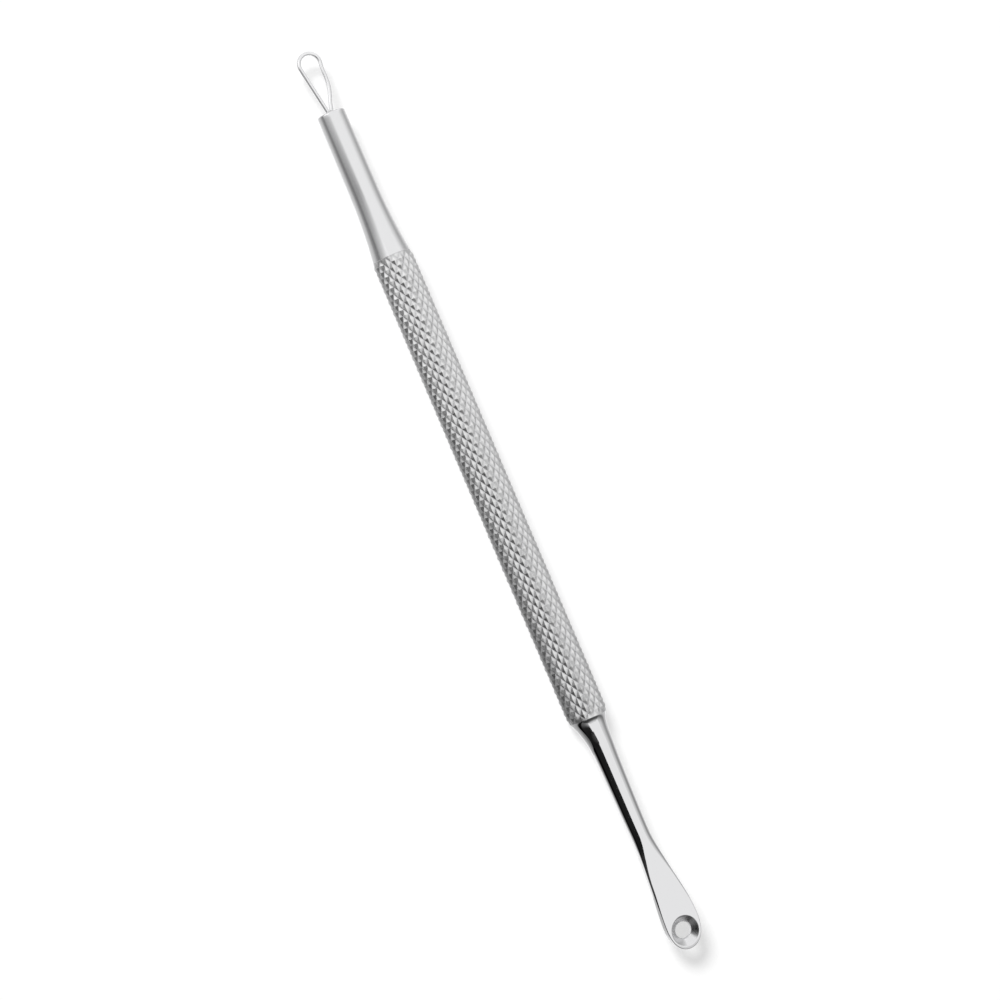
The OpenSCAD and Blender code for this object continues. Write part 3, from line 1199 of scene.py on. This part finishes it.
@dataclass
class ExtractorSpoon:
    """The forged spoon: a round shank that flattens into a pierced, dished paddle.

    The shank is swept along its middle line. The paddle's end is a patch of rings that
    run from the hole out to the paddle's outline, so the dish and its rim are smooth.

    Attributes:
        tool: The shared sizes.
        tang: Its tang inside the grip.
        shank_dia: Diameter of the shank before its taper, without the root flare.
        waist_dia: Diameter at the waist.
        root_flare: Distance over which the root flare falls away to a third.
        waist_reach: Distance from the tip back to the waist.
        widen_len: Distance over which the waist widens into the paddle.
        flatten_len: Distance over which the shank turns into the flat paddle.
        paddle_width: Width of the paddle at its widest.
        paddle_thick: Thickness of the paddle.
        paddle_edge: Rounding of the paddle's edges where the shank has turned flat.
        tip_edge: Rounding of the edges from the widest place round the tip.
        tip_len: Length of the rounded tip, from the widest place.
        tip_fullness: How square the rounded tip is.
        shank_rise: Height of the shank's middle above the middle of the grip.
        rise_len: Distance over which the shank rises from the root.
        bend_reach: Distance from the tip back to the start of the upward bend.
        bend_up_radius: Radius of the upward bend.
        bend_down_radius: Radius of the bend that levels the paddle again.
        bend_angle: Steepest slope of the shank, in degrees.
        hole_dia: Diameter of the hole.
        dish_dia: Diameter of the dish's rim on the paddle's face.
        hole_land: Straight length of the hole below the dish.
        hole_inset: Distance from the tip to the middle of the hole.
        rim_edge: Broken edge on the hole's mouths.
        rim_round: Rounding of the dish's rim.
        patch_back: Distance from the hole's middle back to the start of the patch.
        corner, side, face: Steps in a corner, a side and a face of a section.
        quarter: Points that trace a quarter of a section, before it is stepped.
        root_len: Length of the root, where the sections crowd towards the shoulder.
        root_steps, root_crowding: The sections of the root, and how they crowd.
        shank_sections: Sections from the root to the patch.
        edge_points, bow_points: Points that trace the outline beside and round the tip.
        tip_steps: Steps of the outline round the tip.
        back_steps: Rings of the patch's back.
        cone_points, round_steps: Points down the dish's cone and round its rim.
        face_shares: Rings of the patch's face, as shares of the way to the outline.
        crease: Angle past which an edge stays sharp.
    """

    tool: Tool
    tang: Tang
    shank_dia: float = 3.0
    waist_dia: float = 2.46
    root_flare: float = 1.65
    waist_reach: float = 15.25
    widen_len: float = 12.2
    flatten_len: float = 6.6
    paddle_width: float = 4.56
    paddle_thick: float = 1.15
    paddle_edge: float = 0.3
    tip_edge: float = 0.1
    tip_len: float = 4.1
    tip_fullness: float = 3.0
    shank_rise: float = 0.64
    rise_len: float = 4.2
    bend_reach: float = 18.4
    bend_up_radius: float = 52.0
    bend_down_radius: float = 20.0
    bend_angle: float = 10.7
    hole_dia: float = 2.08
    dish_dia: float = 3.68
    hole_land: float = 0.44
    hole_inset: float = 2.28
    rim_edge: float = 0.03
    rim_round: float = 0.25
    patch_back: float = 2.6
    corner: int = 8
    side: int = 4
    face: int = 28
    quarter: int = 25
    root_len: float = 4.0
    root_steps: int = 31
    root_crowding: float = 1.6
    shank_sections: int = 120
    edge_points: int = 40
    bow_points: int = 400
    tip_steps: int = 68
    back_steps: int = 9
    cone_points: int = 10
    round_steps: int = 7
    face_shares: tuple[float, ...] = (0.2, 0.45, 0.7, 1.0)
    crease: float = 40.0

    @property
    def waist_at(self) -> float:
        """Distance from the shoulder to the waist."""
        return self.tool.spoon_len - self.waist_reach

    @property
    def wide_at(self) -> float:
        """Distance from the shoulder to the paddle's widest place."""
        return self.tool.spoon_len - self.tip_len

    @property
    def hole_at(self) -> float:
        """Distance from the shoulder to the middle of the hole."""
        return self.tool.spoon_len - self.hole_inset

    @property
    def patch_at(self) -> float:
        """Distance from the shoulder to the start of the patch."""
        return self.hole_at - self.patch_back

    @property
    def whole(self) -> int:
        """Points once round a section."""
        return 4 * self.corner + 2 * self.side + 2 * self.face

    def edge_size(self, x: np.ndarray) -> np.ndarray:
        """Gives the rounding of the edges.

        Args:
            x: Distances from the shoulder.

        Returns:
            The rounding at each distance.
        """
        flat_at = self.waist_at + self.flatten_len
        narrowing = ease((x - flat_at) / (self.wide_at - flat_at))
        return self.paddle_edge + (self.tip_edge - self.paddle_edge) * narrowing

    def line(self, x: np.ndarray) -> tuple[np.ndarray, np.ndarray]:
        """Follows the shank's middle line: a rise, a bend up and a bend level.

        Args:
            x: Distances from the shoulder.

        Returns:
            The line's slope in radians and its height, at each distance.
        """
        rise, rise_len = self.shank_rise, self.rise_len
        up_r, down_r = self.bend_up_radius, self.bend_down_radius
        steepest = math.radians(self.bend_angle)
        up = x - (self.tool.spoon_len - self.bend_reach)
        down = up - up_r * math.sin(steepest)
        rising = np.arctan(rise * np.pi / 2 / rise_len * np.sin(np.pi * x / rise_len))
        bending = np.arcsin(np.clip(up / up_r, 0, math.sin(steepest)))
        levelling = np.arcsin(math.sin(steepest) - np.maximum(down, 0) / down_r)
        bent = rise + up_r * (1 - np.cos(bending))
        levelled = bent + down_r * (np.cos(levelling) - math.cos(steepest))
        slope = np.where(down < 0, bending, levelling)
        height = np.where(down < 0, bent, levelled)
        at_root = x < rise_len
        risen = rise * ease(x / rise_len)
        return np.where(at_root, rising, slope), np.where(at_root, risen, height)

    def half_sizes(
        self, x: np.ndarray
    ) -> tuple[np.ndarray, np.ndarray, np.ndarray]:
        """Gives a section's half width, half thickness and flatness.

        Args:
            x: Distances from the shoulder.

        Returns:
            The half width, the half thickness and the flatness from 0 to 1, each at
            each distance.
        """
        taper = np.minimum(x / self.waist_at, 1)
        shank = (self.shank_dia + (self.waist_dia - self.shank_dia) * taper) / 2
        flare = self.tool.shoulder_r - self.shank_dia / 2
        shank = shank + flare * np.exp(-x / self.root_flare)
        wide = ease((x - self.waist_at) / self.widen_len)
        flat = ease((x - self.waist_at) / self.flatten_len)
        past = np.clip((x - self.wide_at) / self.tip_len, 0, 1)
        tip = np.sqrt(1 - past**self.tip_fullness)
        half_width = (shank + (self.paddle_width / 2 - shank) * wide) * tip
        half_thick = shank + (self.paddle_thick / 2 - shank) * flat
        return half_width, half_thick, flat

    def place(self, x: np.ndarray, y: np.ndarray, v: np.ndarray) -> np.ndarray:
        """Places points on the bent middle line.

        Args:
            x: Distances from the shoulder along the line.
            y: Distances across it.
            v: Distances above it, square to it.

        Returns:
            The points, with x, y and z last.
        """
        slope, height = self.line(x)
        placed_x = self.tool.spoon_x + x - v * np.sin(slope)
        placed_z = self.tool.axis_z + height + v * np.cos(slope)
        return np.stack([placed_x, y + 0 * x, placed_z], axis=-1)

    def section(self, x: float) -> np.ndarray:
        """Makes one section: round on the shank, a rounded bar on the paddle.

        Args:
            x: The section's distance from the shoulder.

        Returns:
            The section's points, from the middle of its +Y side over its top.
        """
        (w,), (h,), (flat,) = self.half_sizes(np.array([x]))
        edge = self.edge_size(x)
        corner_w = w + (edge - w) * flat
        corner_h = h + (edge - h) * flat
        quarter = np.linspace(0, math.pi / 2, self.quarter)
        ys, vs, shares = [np.array([w])], [np.array([0.0])], [np.array([0.0])]
        done = 0.0
        count = self.corner + (self.whole / 4 - self.corner) * (1 - flat)
        for quadrant in range(4):
            right = 1 if quadrant in (0, 3) else -1
            top = 1 if quadrant < 2 else -1
            turn = quarter + quadrant * math.pi / 2
            runs = self.side / 2, self.face / 2
            before, after = runs if quadrant % 2 == 0 else runs[::-1]
            start = done + before * flat
            ys.append(right * (w - corner_w) + corner_w * np.cos(turn))
            vs.append(top * (h - corner_h) + corner_h * np.sin(turn))
            shares.append(start + count * np.linspace(0, 1, self.quarter))
            done = start + count + after * flat
        ys.append(ys[0])
        vs.append(vs[0])
        shares.append(np.array([float(self.whole)]))
        steps, at = np.arange(self.whole), np.concatenate(shares)
        y = np.interp(steps, at, np.concatenate(ys))
        v = np.interp(steps, at, np.concatenate(vs))
        return self.place(np.full(self.whole, x), y, v)

    def shank(self) -> Skin:
        """Makes the shank and the paddle, from the shoulder to the patch.

        Returns:
            The skin.
        """
        shares = np.linspace(0, 1, self.root_steps)[:-1] ** self.root_crowding
        rest = np.linspace(self.root_len, self.patch_at, self.shank_sections)
        stations = np.concatenate([self.root_len * shares, rest])
        return Skin.from_grid(np.array([self.section(x) for x in stations]), wraps=True)

    def inner_end(self) -> Skin:
        """Makes the tang and the shoulder's face.

        Returns:
            The skin.
        """
        shoulder = (self.tool.spoon_x, self.tool.shoulder_r)
        outline = [shoulder, *self.tang.outline(self.tool.spoon_x, Towards.LOOP)]
        return Skin.lathed(outline, around(self.whole), self.tool.axis_z)

    def tip_outline(self) -> tuple[np.ndarray, np.ndarray]:
        """Follows the paddle's outline round its tip, seen from above.

        Returns:
            The points and their outward directions, by rows of x and y, from the -Y
            side of the patch's start to its +Y side.
        """
        straight = np.linspace(self.patch_at, self.wide_at, self.edge_points)[:-1]
        bow = np.sin(np.linspace(0, math.pi / 2, self.bow_points))
        x = np.concatenate([straight, self.wide_at + self.tip_len * bow])
        half_width = self.half_sizes(x)[0]
        x = np.concatenate([x, x[-2::-1]])
        y = np.concatenate([-half_width, half_width[-2::-1]])
        turn = np.unwrap(np.arctan2(y, x - self.hole_at))
        even = np.linspace(turn[0], turn[-1], self.tip_steps + 1)
        points = np.stack([np.interp(even, turn, x), np.interp(even, turn, y)], axis=1)
        points[0, 1], points[-1, 1] = y[0], y[-1]
        along = np.gradient(points, axis=0)
        out = np.stack([along[:, 1], -along[:, 0]], axis=1)
        out /= np.linalg.norm(out, axis=1)[:, None]
        out[0], out[-1] = (0, -1), (0, 1)
        return points, out

    def tip_side(self, points: np.ndarray, out: np.ndarray) -> Skin:
        """Makes the rounded side of the paddle round its tip.

        Args:
            points: The outline's points.
            out: Their outward directions.

        Returns:
            The skin between the paddle's two faces.
        """
        half = self.paddle_thick / 2
        turn = np.linspace(0, math.pi / 2, self.corner + 1)
        cos, sin = np.cos(turn), np.sin(turn)
        rows = []
        for p, o, edge in zip(points, out, self.edge_size(points[:, 0])):
            levels = np.linspace(half - edge, edge - half, self.side + 1)[1:-1]
            inset = np.concatenate([edge * (1 - sin), 0 * levels, edge * (1 - cos)])
            top, bottom = half - edge + edge * cos, edge - half - edge * sin
            v = np.concatenate([top, levels, bottom])
            rows.append(self.place(p[0] - inset * o[0], p[1] - inset * o[1], v))
        return Skin.from_grid(np.array(rows), wraps=False)

    def hole_profile(self) -> Outline:
        """Lists the hole's profile, from the paddle's back up to its face.

        Returns:
            The distance from the hole's axis and the height of each point.
        """
        half, hole_r = self.paddle_thick / 2, self.hole_dia / 2
        dish_r = self.dish_dia / 2
        edge, land_top = self.rim_edge, self.hole_land - half
        slope = math.atan2(self.paddle_thick - self.hole_land, dish_r - hole_r)
        reach = self.rim_round * math.tan(slope / 2)
        profile = [
            (hole_r + 3 * edge, -half),
            (hole_r + edge, -half),
            (hole_r, edge - half),
            (hole_r, 2 * edge - half),
            (hole_r, land_top - 2 * edge),
            (hole_r, land_top - edge),
        ]
        cone_end = dish_r - reach * math.cos(slope)
        for r in np.linspace(hole_r + edge, cone_end, self.cone_points):
            profile.append((r, half - (dish_r - r) * math.tan(slope)))
        for turn in np.linspace(slope, 0, self.round_steps)[1:]:
            along = dish_r + reach - self.rim_round * math.sin(turn)
            profile.append((along, half - self.rim_round * (1 - math.cos(turn))))
        profile.append((dish_r + reach + edge, half))
        return profile

    def tip_faces(self, points: np.ndarray, out: np.ndarray) -> Skin:
        """Makes the patch: the back, the hole, the dish and the face round it.

        Args:
            points: The tip outline's points.
            out: Their outward directions.

        Returns:
            The skin, with a ring of points for each step of the hole's profile.
        """
        half = self.paddle_thick / 2
        edge = self.edge_size(points[:, :1])
        width = self.half_sizes(np.array([self.patch_at]))[0][0] - edge[0, 0]
        shares = np.arange(1, self.face) / self.face
        back = np.stack([0 * shares + self.patch_at, width * (1 - 2 * shares)], axis=1)
        border = np.concatenate([points - edge * out, back])
        centre = np.array([self.hole_at, 0.0])
        toward = border - centre
        toward = toward / np.linalg.norm(toward, axis=1)[:, None]
        profile = self.hole_profile()
        first, last = (centre + toward * profile[i][0] for i in (0, -1))
        rings = []
        for share in np.linspace(0, 1, self.back_steps)[:-1]:
            rings.append((border + (first - border) * share, -half))
        rings += [(centre + toward * r, v) for r, v in profile]
        for share in self.face_shares:
            rings.append((last + (border - last) * share, half))
        grid = [self.place(*p.T, np.full(len(p), v)) for p, v in rings]
        return Skin.from_grid(np.array(grid), wraps=True)

    def mark_dull(self, spoon: bpy.types.Object) -> None:
        """Marks what no buff reaches: the hole, its dish and the edge round the tip.

        Args:
            spoon: The sealed piece, which gets a "dull" attribute from 0 to 1.
        """
        points = np.empty(3 * len(spoon.data.vertices))
        spoon.data.vertices.foreach_get("co", points)
        x, y, z = points.reshape(-1, 3).T / MM
        x, z = x - self.tool.spoon_x, z - self.tool.axis_z
        at = x
        # Each turn comes closer to the place along the line that a point is above
        for _ in range(3):
            slope, height = self.line(at)
            above = (z - height) / np.cos(slope)
            at = x + above * np.sin(slope)
        below_face = above < self.paddle_thick / 2 - self.rim_edge / 4
        inside = (np.hypot(at - self.hole_at, y) < self.dish_dia / 2) & below_face
        round_tip = below_face * ease((at - self.wide_at) / self.hole_inset + 0.5)
        mark(spoon, "dull", np.maximum(inside, round_tip))

    def build(self, steel: bpy.types.Material) -> None:
        """Makes the spoon.

        Args:
            steel: Its material.
        """
        outline = self.tip_outline()
        tip = self.tip_side(*outline), self.tip_faces(*outline)
        spoon = new_piece("forged_spoon", self.inner_end(), self.shank(), *tip)
        spoon.data.materials.append(steel)
        seal(spoon, self.crease)
        self.mark_dull(spoon)
        tie(spoon, Slot.POLISHED_STEEL, "extractor_spoon")


# ---- The studio ----

CARD_REACH = 250.0  # How far the cards reach each way along the tool
CARD_NEAR, CARD_FAR = -120.0, 150.0  # How far they reach to its two sides
CARD_LIFT = 0.2  # How far they stand clear of the floor
FLAG_JOINT, TABLE_REFLECTION_JOINT = 33.0, 34.0  # Where a card by the grip meets one by the spoon

CardLine = tuple[Point, Point, tuple[float, ...]]


@dataclass(frozen=True)
class Card:
    """A studio card that only the metal's reflections see, shaded from line to line.

    Attributes:
        name: What the card is.
        lines: For each line, from one edge of the card to the other, its two ends and
            how bright it looks at even steps between them, where 1 is white.
        steps: Steps along each line.
    """

    name: str
    lines: tuple[CardLine, ...]
    steps: int = 40

    def build(self) -> bpy.types.Object:
        """Makes the card.

        Returns:
            The card, which only the metal's reflections see.
        """
        share = np.linspace(0, 1, self.steps + 1)
        grid, lights = [], []
        for start, end, levels in self.lines:
            first, last = np.array(start), np.array(end)
            grid.append(first + (last - first) * share[:, None])
            lights.append(np.interp(share, np.linspace(0, 1, len(levels)), levels))
        card = new_piece(self.name, Skin.from_grid(np.array(grid), wraps=False))
        mark(card, "light", np.ravel(lights))
        material = bpy.data.materials.new(f"{self.name}_paint")
        tree = empty_tree(material)
        light = add_node(tree, "ShaderNodeAttribute", attribute_name="light")
        light = {"Strength": light.outputs["Fac"]}
        glow = add_node(tree, "ShaderNodeEmission", light)
        add_node(tree, "ShaderNodeOutputMaterial", {"Surface": glow})
        card.data.materials.append(material)
        for ray in ("camera", "diffuse", "transmission", "volume_scatter", "shadow"):
            setattr(card, f"visible_{ray}", False)
        return card


def lines_along(
    start: float, end: float, *rows: tuple[float, float, tuple[float, ...]]
) -> tuple[CardLine, ...]:
    """Makes the lines of a card that runs along the tool.

    Args:
        start, end: Where the lines start and end along the tool.
        rows: The place across the tool, the height and the lights of each line.

    Returns:
        The lines.
    """
    return tuple(((start, y, z), (end, y, z), lights) for y, z, lights in rows)


def lines_across(*rows: tuple[float, tuple[float, ...]]) -> tuple[CardLine, ...]:
    """Makes the lines of a card that stands across the tool, past the spoon.

    Args:
        rows: The height and the lights of each line.

    Returns:
        The lines.
    """
    near, far = (CARD_REACH, CARD_NEAR), (CARD_REACH, CARD_FAR)
    return tuple(((*near, z), (*far, z), lights) for z, lights in rows)


CARDS = (
    Card(
        "flag_by_grip",
        (
            *lines_along(
                -CARD_REACH,
                FLAG_JOINT,
                (CARD_NEAR, CARD_LIFT, (1.0, 1.0, 1.0, 0.8, 0.24, 0.12, 0.03)),
                (CARD_NEAR, 25, (1.5, 1.5, 1.5, 1.3, 0.34, 0.16, 0.02)),
            ),
            (
                (-CARD_REACH, CARD_NEAR, 150),
                (FLAG_JOINT, CARD_NEAR, 220),
                (1.8, 1.8, 1.7, 1.4, 0.46, 0.2, 0.03),
            ),
        ),
    ),
    Card(
        "flag_by_spoon",
        lines_along(
            FLAG_JOINT,
            CARD_REACH,
            (CARD_NEAR, CARD_LIFT, (0.01, 0.02, 0.08, 0.1, 0.1)),
            (CARD_NEAR, 80, (0.01, 0.02, 0.15, 0.2, 0.2)),
            (CARD_NEAR, 176, (0.01, 0.03, 0.4, 0.5, 0.5)),
        ),
    ),
    # This card and the next lie on the floor, and only reflections see them: a painted
    # reflection of the table, darker than the white floor and darkest by the spoon
    Card(
        "painted_table_reflection_by_grip",
        lines_along(
            -CARD_REACH,
            TABLE_REFLECTION_JOINT,
            (CARD_NEAR, CARD_LIFT, (0.9, 0.9, 0.9, 0.7, 0.15, 0.12, 0.08)),
            (-24, CARD_LIFT, (0.5, 0.42, 0.32, 0.18, 0.13)),
            (-9, CARD_LIFT, (0.58, 0.54, 0.5, 0.32, 0.2)),
            (-5.8, CARD_LIFT, (0.66, 0.64, 0.62, 0.6, 0.36)),
            (-2.6, CARD_LIFT, (0.72, 0.72, 0.74, 0.82, 0.6)),
        ),
    ),
    Card(
        "painted_table_reflection_by_spoon",
        lines_along(
            TABLE_REFLECTION_JOINT,
            CARD_REACH,
            (CARD_NEAR, CARD_LIFT, (0, 0.03, 0.25, 0.3, 0.3)),
            (-8.4, CARD_LIFT, (0, 0.03, 0.25, 0.3, 0.3)),
            (-5.8, CARD_LIFT, (0.35, 0.35)),
            (-3.4, CARD_LIFT, (0.62, 0.62)),
        ),
    ),
    # Its first three lines lie on the floor on the +Y side: a painted reflection of a
    # greyer floor there, darker towards the spoon; then it rises as a grey wall
    Card(
        "grey_side",
        lines_along(
            -CARD_REACH,
            CARD_REACH,
            (6, CARD_LIFT, (0.9, 0.9, 0.85, 0.78, 0.75, 0.65, 0.55, 0.5, 0.5)),
            (24, CARD_LIFT, (0.9, 0.9, 0.8, 0.52, 0.5, 0.38, 0.28, 0.24, 0.22)),
            (CARD_FAR, CARD_LIFT, (0.9, 0.9, 0.8, 0.4, 0.37, 0.26, 0.17, 0.14, 0.12)),
            (CARD_FAR, 49, (1.1, 1.1, 1.0, 0.56, 0.52, 0.42, 0.28, 0.22, 0.2)),
            (CARD_FAR, 97, (1.2, 1.2, 1.1, 0.74, 0.7, 0.72, 0.58, 0.42, 0.34)),
            (CARD_FAR, 179, (1.2, 1.2, 1.15, 0.95, 0.92, 0.88, 0.78, 0.7, 0.65)),
        ),
    ),
    Card(
        "dark_end",
        lines_across(
            (CARD_LIFT, (0.02, 0.1)),
            (110, (0.04, 0.14)),
            (170, (0.3, 0.4)),
            (230, (0.7, 0.7)),
            (330, (0.85, 0.85)),
        ),
    ),
)


@dataclass
class Studio:
    """The pale floor, the soft light, the cards and the camera.

    Attributes:
        tool: The shared sizes.
        lean: How far the camera leans from straight above, towards -Y, in degrees.
        turn: How far the tool's axis turns in the picture, clockwise, in degrees.
        distance: Distance from the camera to the point it aims at.
        frame_width: Width of the picture where that point is.
        aim: That point, along the tool and across the picture from its axis.
        sensor: Width of the camera's sensor.
        ambient: How bright the room is for everything but reflections.
        floor_reach: How far the floor reaches to each side.
        floor_colour: The floor's colour, in sRGB hex.
        floor_glow: What the floor adds to its lit colour where it is seen, so that it
            is white outside the tool's shadow.
        key_from: Direction towards the key lamp.
        key_angle: How wide the key lamp looks, in degrees.
        key_power: The key lamp's strength.
        cards: The cards round the tool.
    """

    tool: Tool
    lean: float = 20.0
    turn: float = 66.917
    distance: float = 420.0
    frame_width: float = 123.13
    aim: tuple[float, float] = (0.25, 0.53)
    sensor: float = 36.0
    ambient: float = 0.28
    floor_reach: float = 3000.0
    floor_colour: str = "#B6B6B6"
    floor_glow: float = 0.545
    key_from: Point = (-0.78, -0.42, 1.0)
    key_angle: float = 20.0
    key_power: float = 3.15
    cards: tuple[Card, ...] = CARDS

    def seen(self, tree: bpy.types.NodeTree) -> bpy.types.Node:
        """Adds the test for a ray that the eye, a gloss or a glass sends out.

        Args:
            tree: The tree that the test goes into.

        Returns:
            The node that gives 1 for such a ray and 0 for any other.
        """
        path = add_node(tree, "ShaderNodeLightPath").outputs
        eye = {0: path["Is Camera Ray"], 1: path["Is Glossy Ray"]}
        eye = add_node(tree, MATHS, eye, operation="MAXIMUM")
        glass = {0: eye, 1: path["Is Transmission Ray"]}
        return add_node(tree, MATHS, glass, operation="MAXIMUM")

    def build_world(self) -> None:
        """Makes the room: white where it is seen, softer where it only lights."""
        world = bpy.data.worlds.new("pale_room")
        tree = empty_tree(world)
        light = {"Value": self.seen(tree), 3: self.ambient, 4: 1.0}
        light = add_node(tree, MAP_RANGE, light)
        room = {"Color": (1.0, 1.0, 1.0, 1.0), "Strength": light}
        room = add_node(tree, "ShaderNodeBackground", room)
        add_node(tree, "ShaderNodeOutputWorld", {"Surface": room})
        bpy.context.scene.world = world

    def build_floor(self) -> None:
        """Makes the pale floor, which keeps the tool's shadow."""
        signs = np.array([[-1, -1, 0], [1, -1, 0], [1, 1, 0], [-1, 1, 0]])
        corners = signs * self.floor_reach
        floor = new_piece("pale_floor", Skin(corners, [(0, 1, 2, 3)]))
        material = bpy.data.materials.new("white_paper")
        tree = empty_tree(material)
        paper = {"Color": linear(self.floor_colour)}
        paper = add_node(tree, "ShaderNodeBsdfDiffuse", paper)
        lift = {0: self.seen(tree), 1: self.floor_glow}
        lift = add_node(tree, MATHS, lift, operation="MULTIPLY")
        glow = add_node(tree, "ShaderNodeEmission", {"Strength": lift})
        both = add_node(tree, "ShaderNodeAddShader", {0: paper, 1: glow})
        add_node(tree, "ShaderNodeOutputMaterial", {"Surface": both})
        floor.data.materials.append(material)

    def build_lamp(self) -> None:
        """Makes the key lamp, which gives the soft shadow and the knurl's glints."""
        light = bpy.data.lights.new("key_lamp", "SUN")
        light.energy = self.key_power
        light.angle = math.radians(self.key_angle)
        lamp = new_object("key_lamp", light)
        lamp.visible_glossy = False
        lamp.rotation_mode = "QUATERNION"
        lamp.rotation_quaternion = Vector(self.key_from).to_track_quat("Z", "Y")

    def build_camera(self) -> None:
        """Makes the camera, at the photograph's angle and framing."""
        lean, turn = math.radians(self.lean), math.radians(self.turn)
        along = Vector((1, 0, 0))
        across = Vector((0, math.cos(lean), math.sin(lean)))
        back = along.cross(across)
        right = along * math.cos(turn) + across * math.sin(turn)
        up = across * math.cos(turn) - along * math.sin(turn)
        aim = Vector((self.aim[0], 0, self.tool.axis_z)) + across * self.aim[1]
        lens = bpy.data.cameras.new("camera")
        lens.sensor_width = self.sensor
        lens.lens = self.sensor * self.distance / self.frame_width
        camera = new_object("camera", lens)
        matrix = Matrix((right, up, back)).transposed().to_4x4()
        matrix.translation = (aim + back * self.distance) * MM
        camera.matrix_world = matrix
        bpy.context.scene.camera = camera

    def build(self) -> None:
        """Makes the whole studio."""
        bpy.context.scene.view_settings.view_transform = "Standard"
        self.build_world()
        self.build_floor()
        self.build_lamp()
        self.build_camera()
        for card in self.cards:
            card.build()


def main() -> None:
    """Builds the tool piece by piece, then the studio round it."""
    logging.basicConfig(level=logging.INFO, format="%(name)s: %(message)s")
    tool, tang = Tool(), Tang()
    neck, loop = LoopNeck(tool, tang), WireLoop(tool)
    Studio(tool).build()
    KnurledGrip(tool, tang).build(KnurledSteel().build())
    neck.build(StreakedSteel().build())
    wire = StreakedSteel(
        name="drawn_spring_steel",
        colour="#EAEAEB",
        roughness=0.25,
        relief=0.001,
        streak_len=3.0,
        streak_width=0.08,
    )
    loop.build(wire.build())
    LoopSolder(tool, neck, loop).build(FilledMetal().build())
    ExtractorSpoon(tool, tang).build(BuffedSteel().build())
    braze = FilledMetal(name="silver_braze", colour="#D6CFB9").build()
    for node in ("neck_braze_ring", "spoon_braze_ring"):
        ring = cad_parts[node]
        ring.data.materials.clear()
        ring.data.materials.append(braze)
        LOG.info("%s: kept, with silver braze", node)


if __name__ == "__main__":
    main()
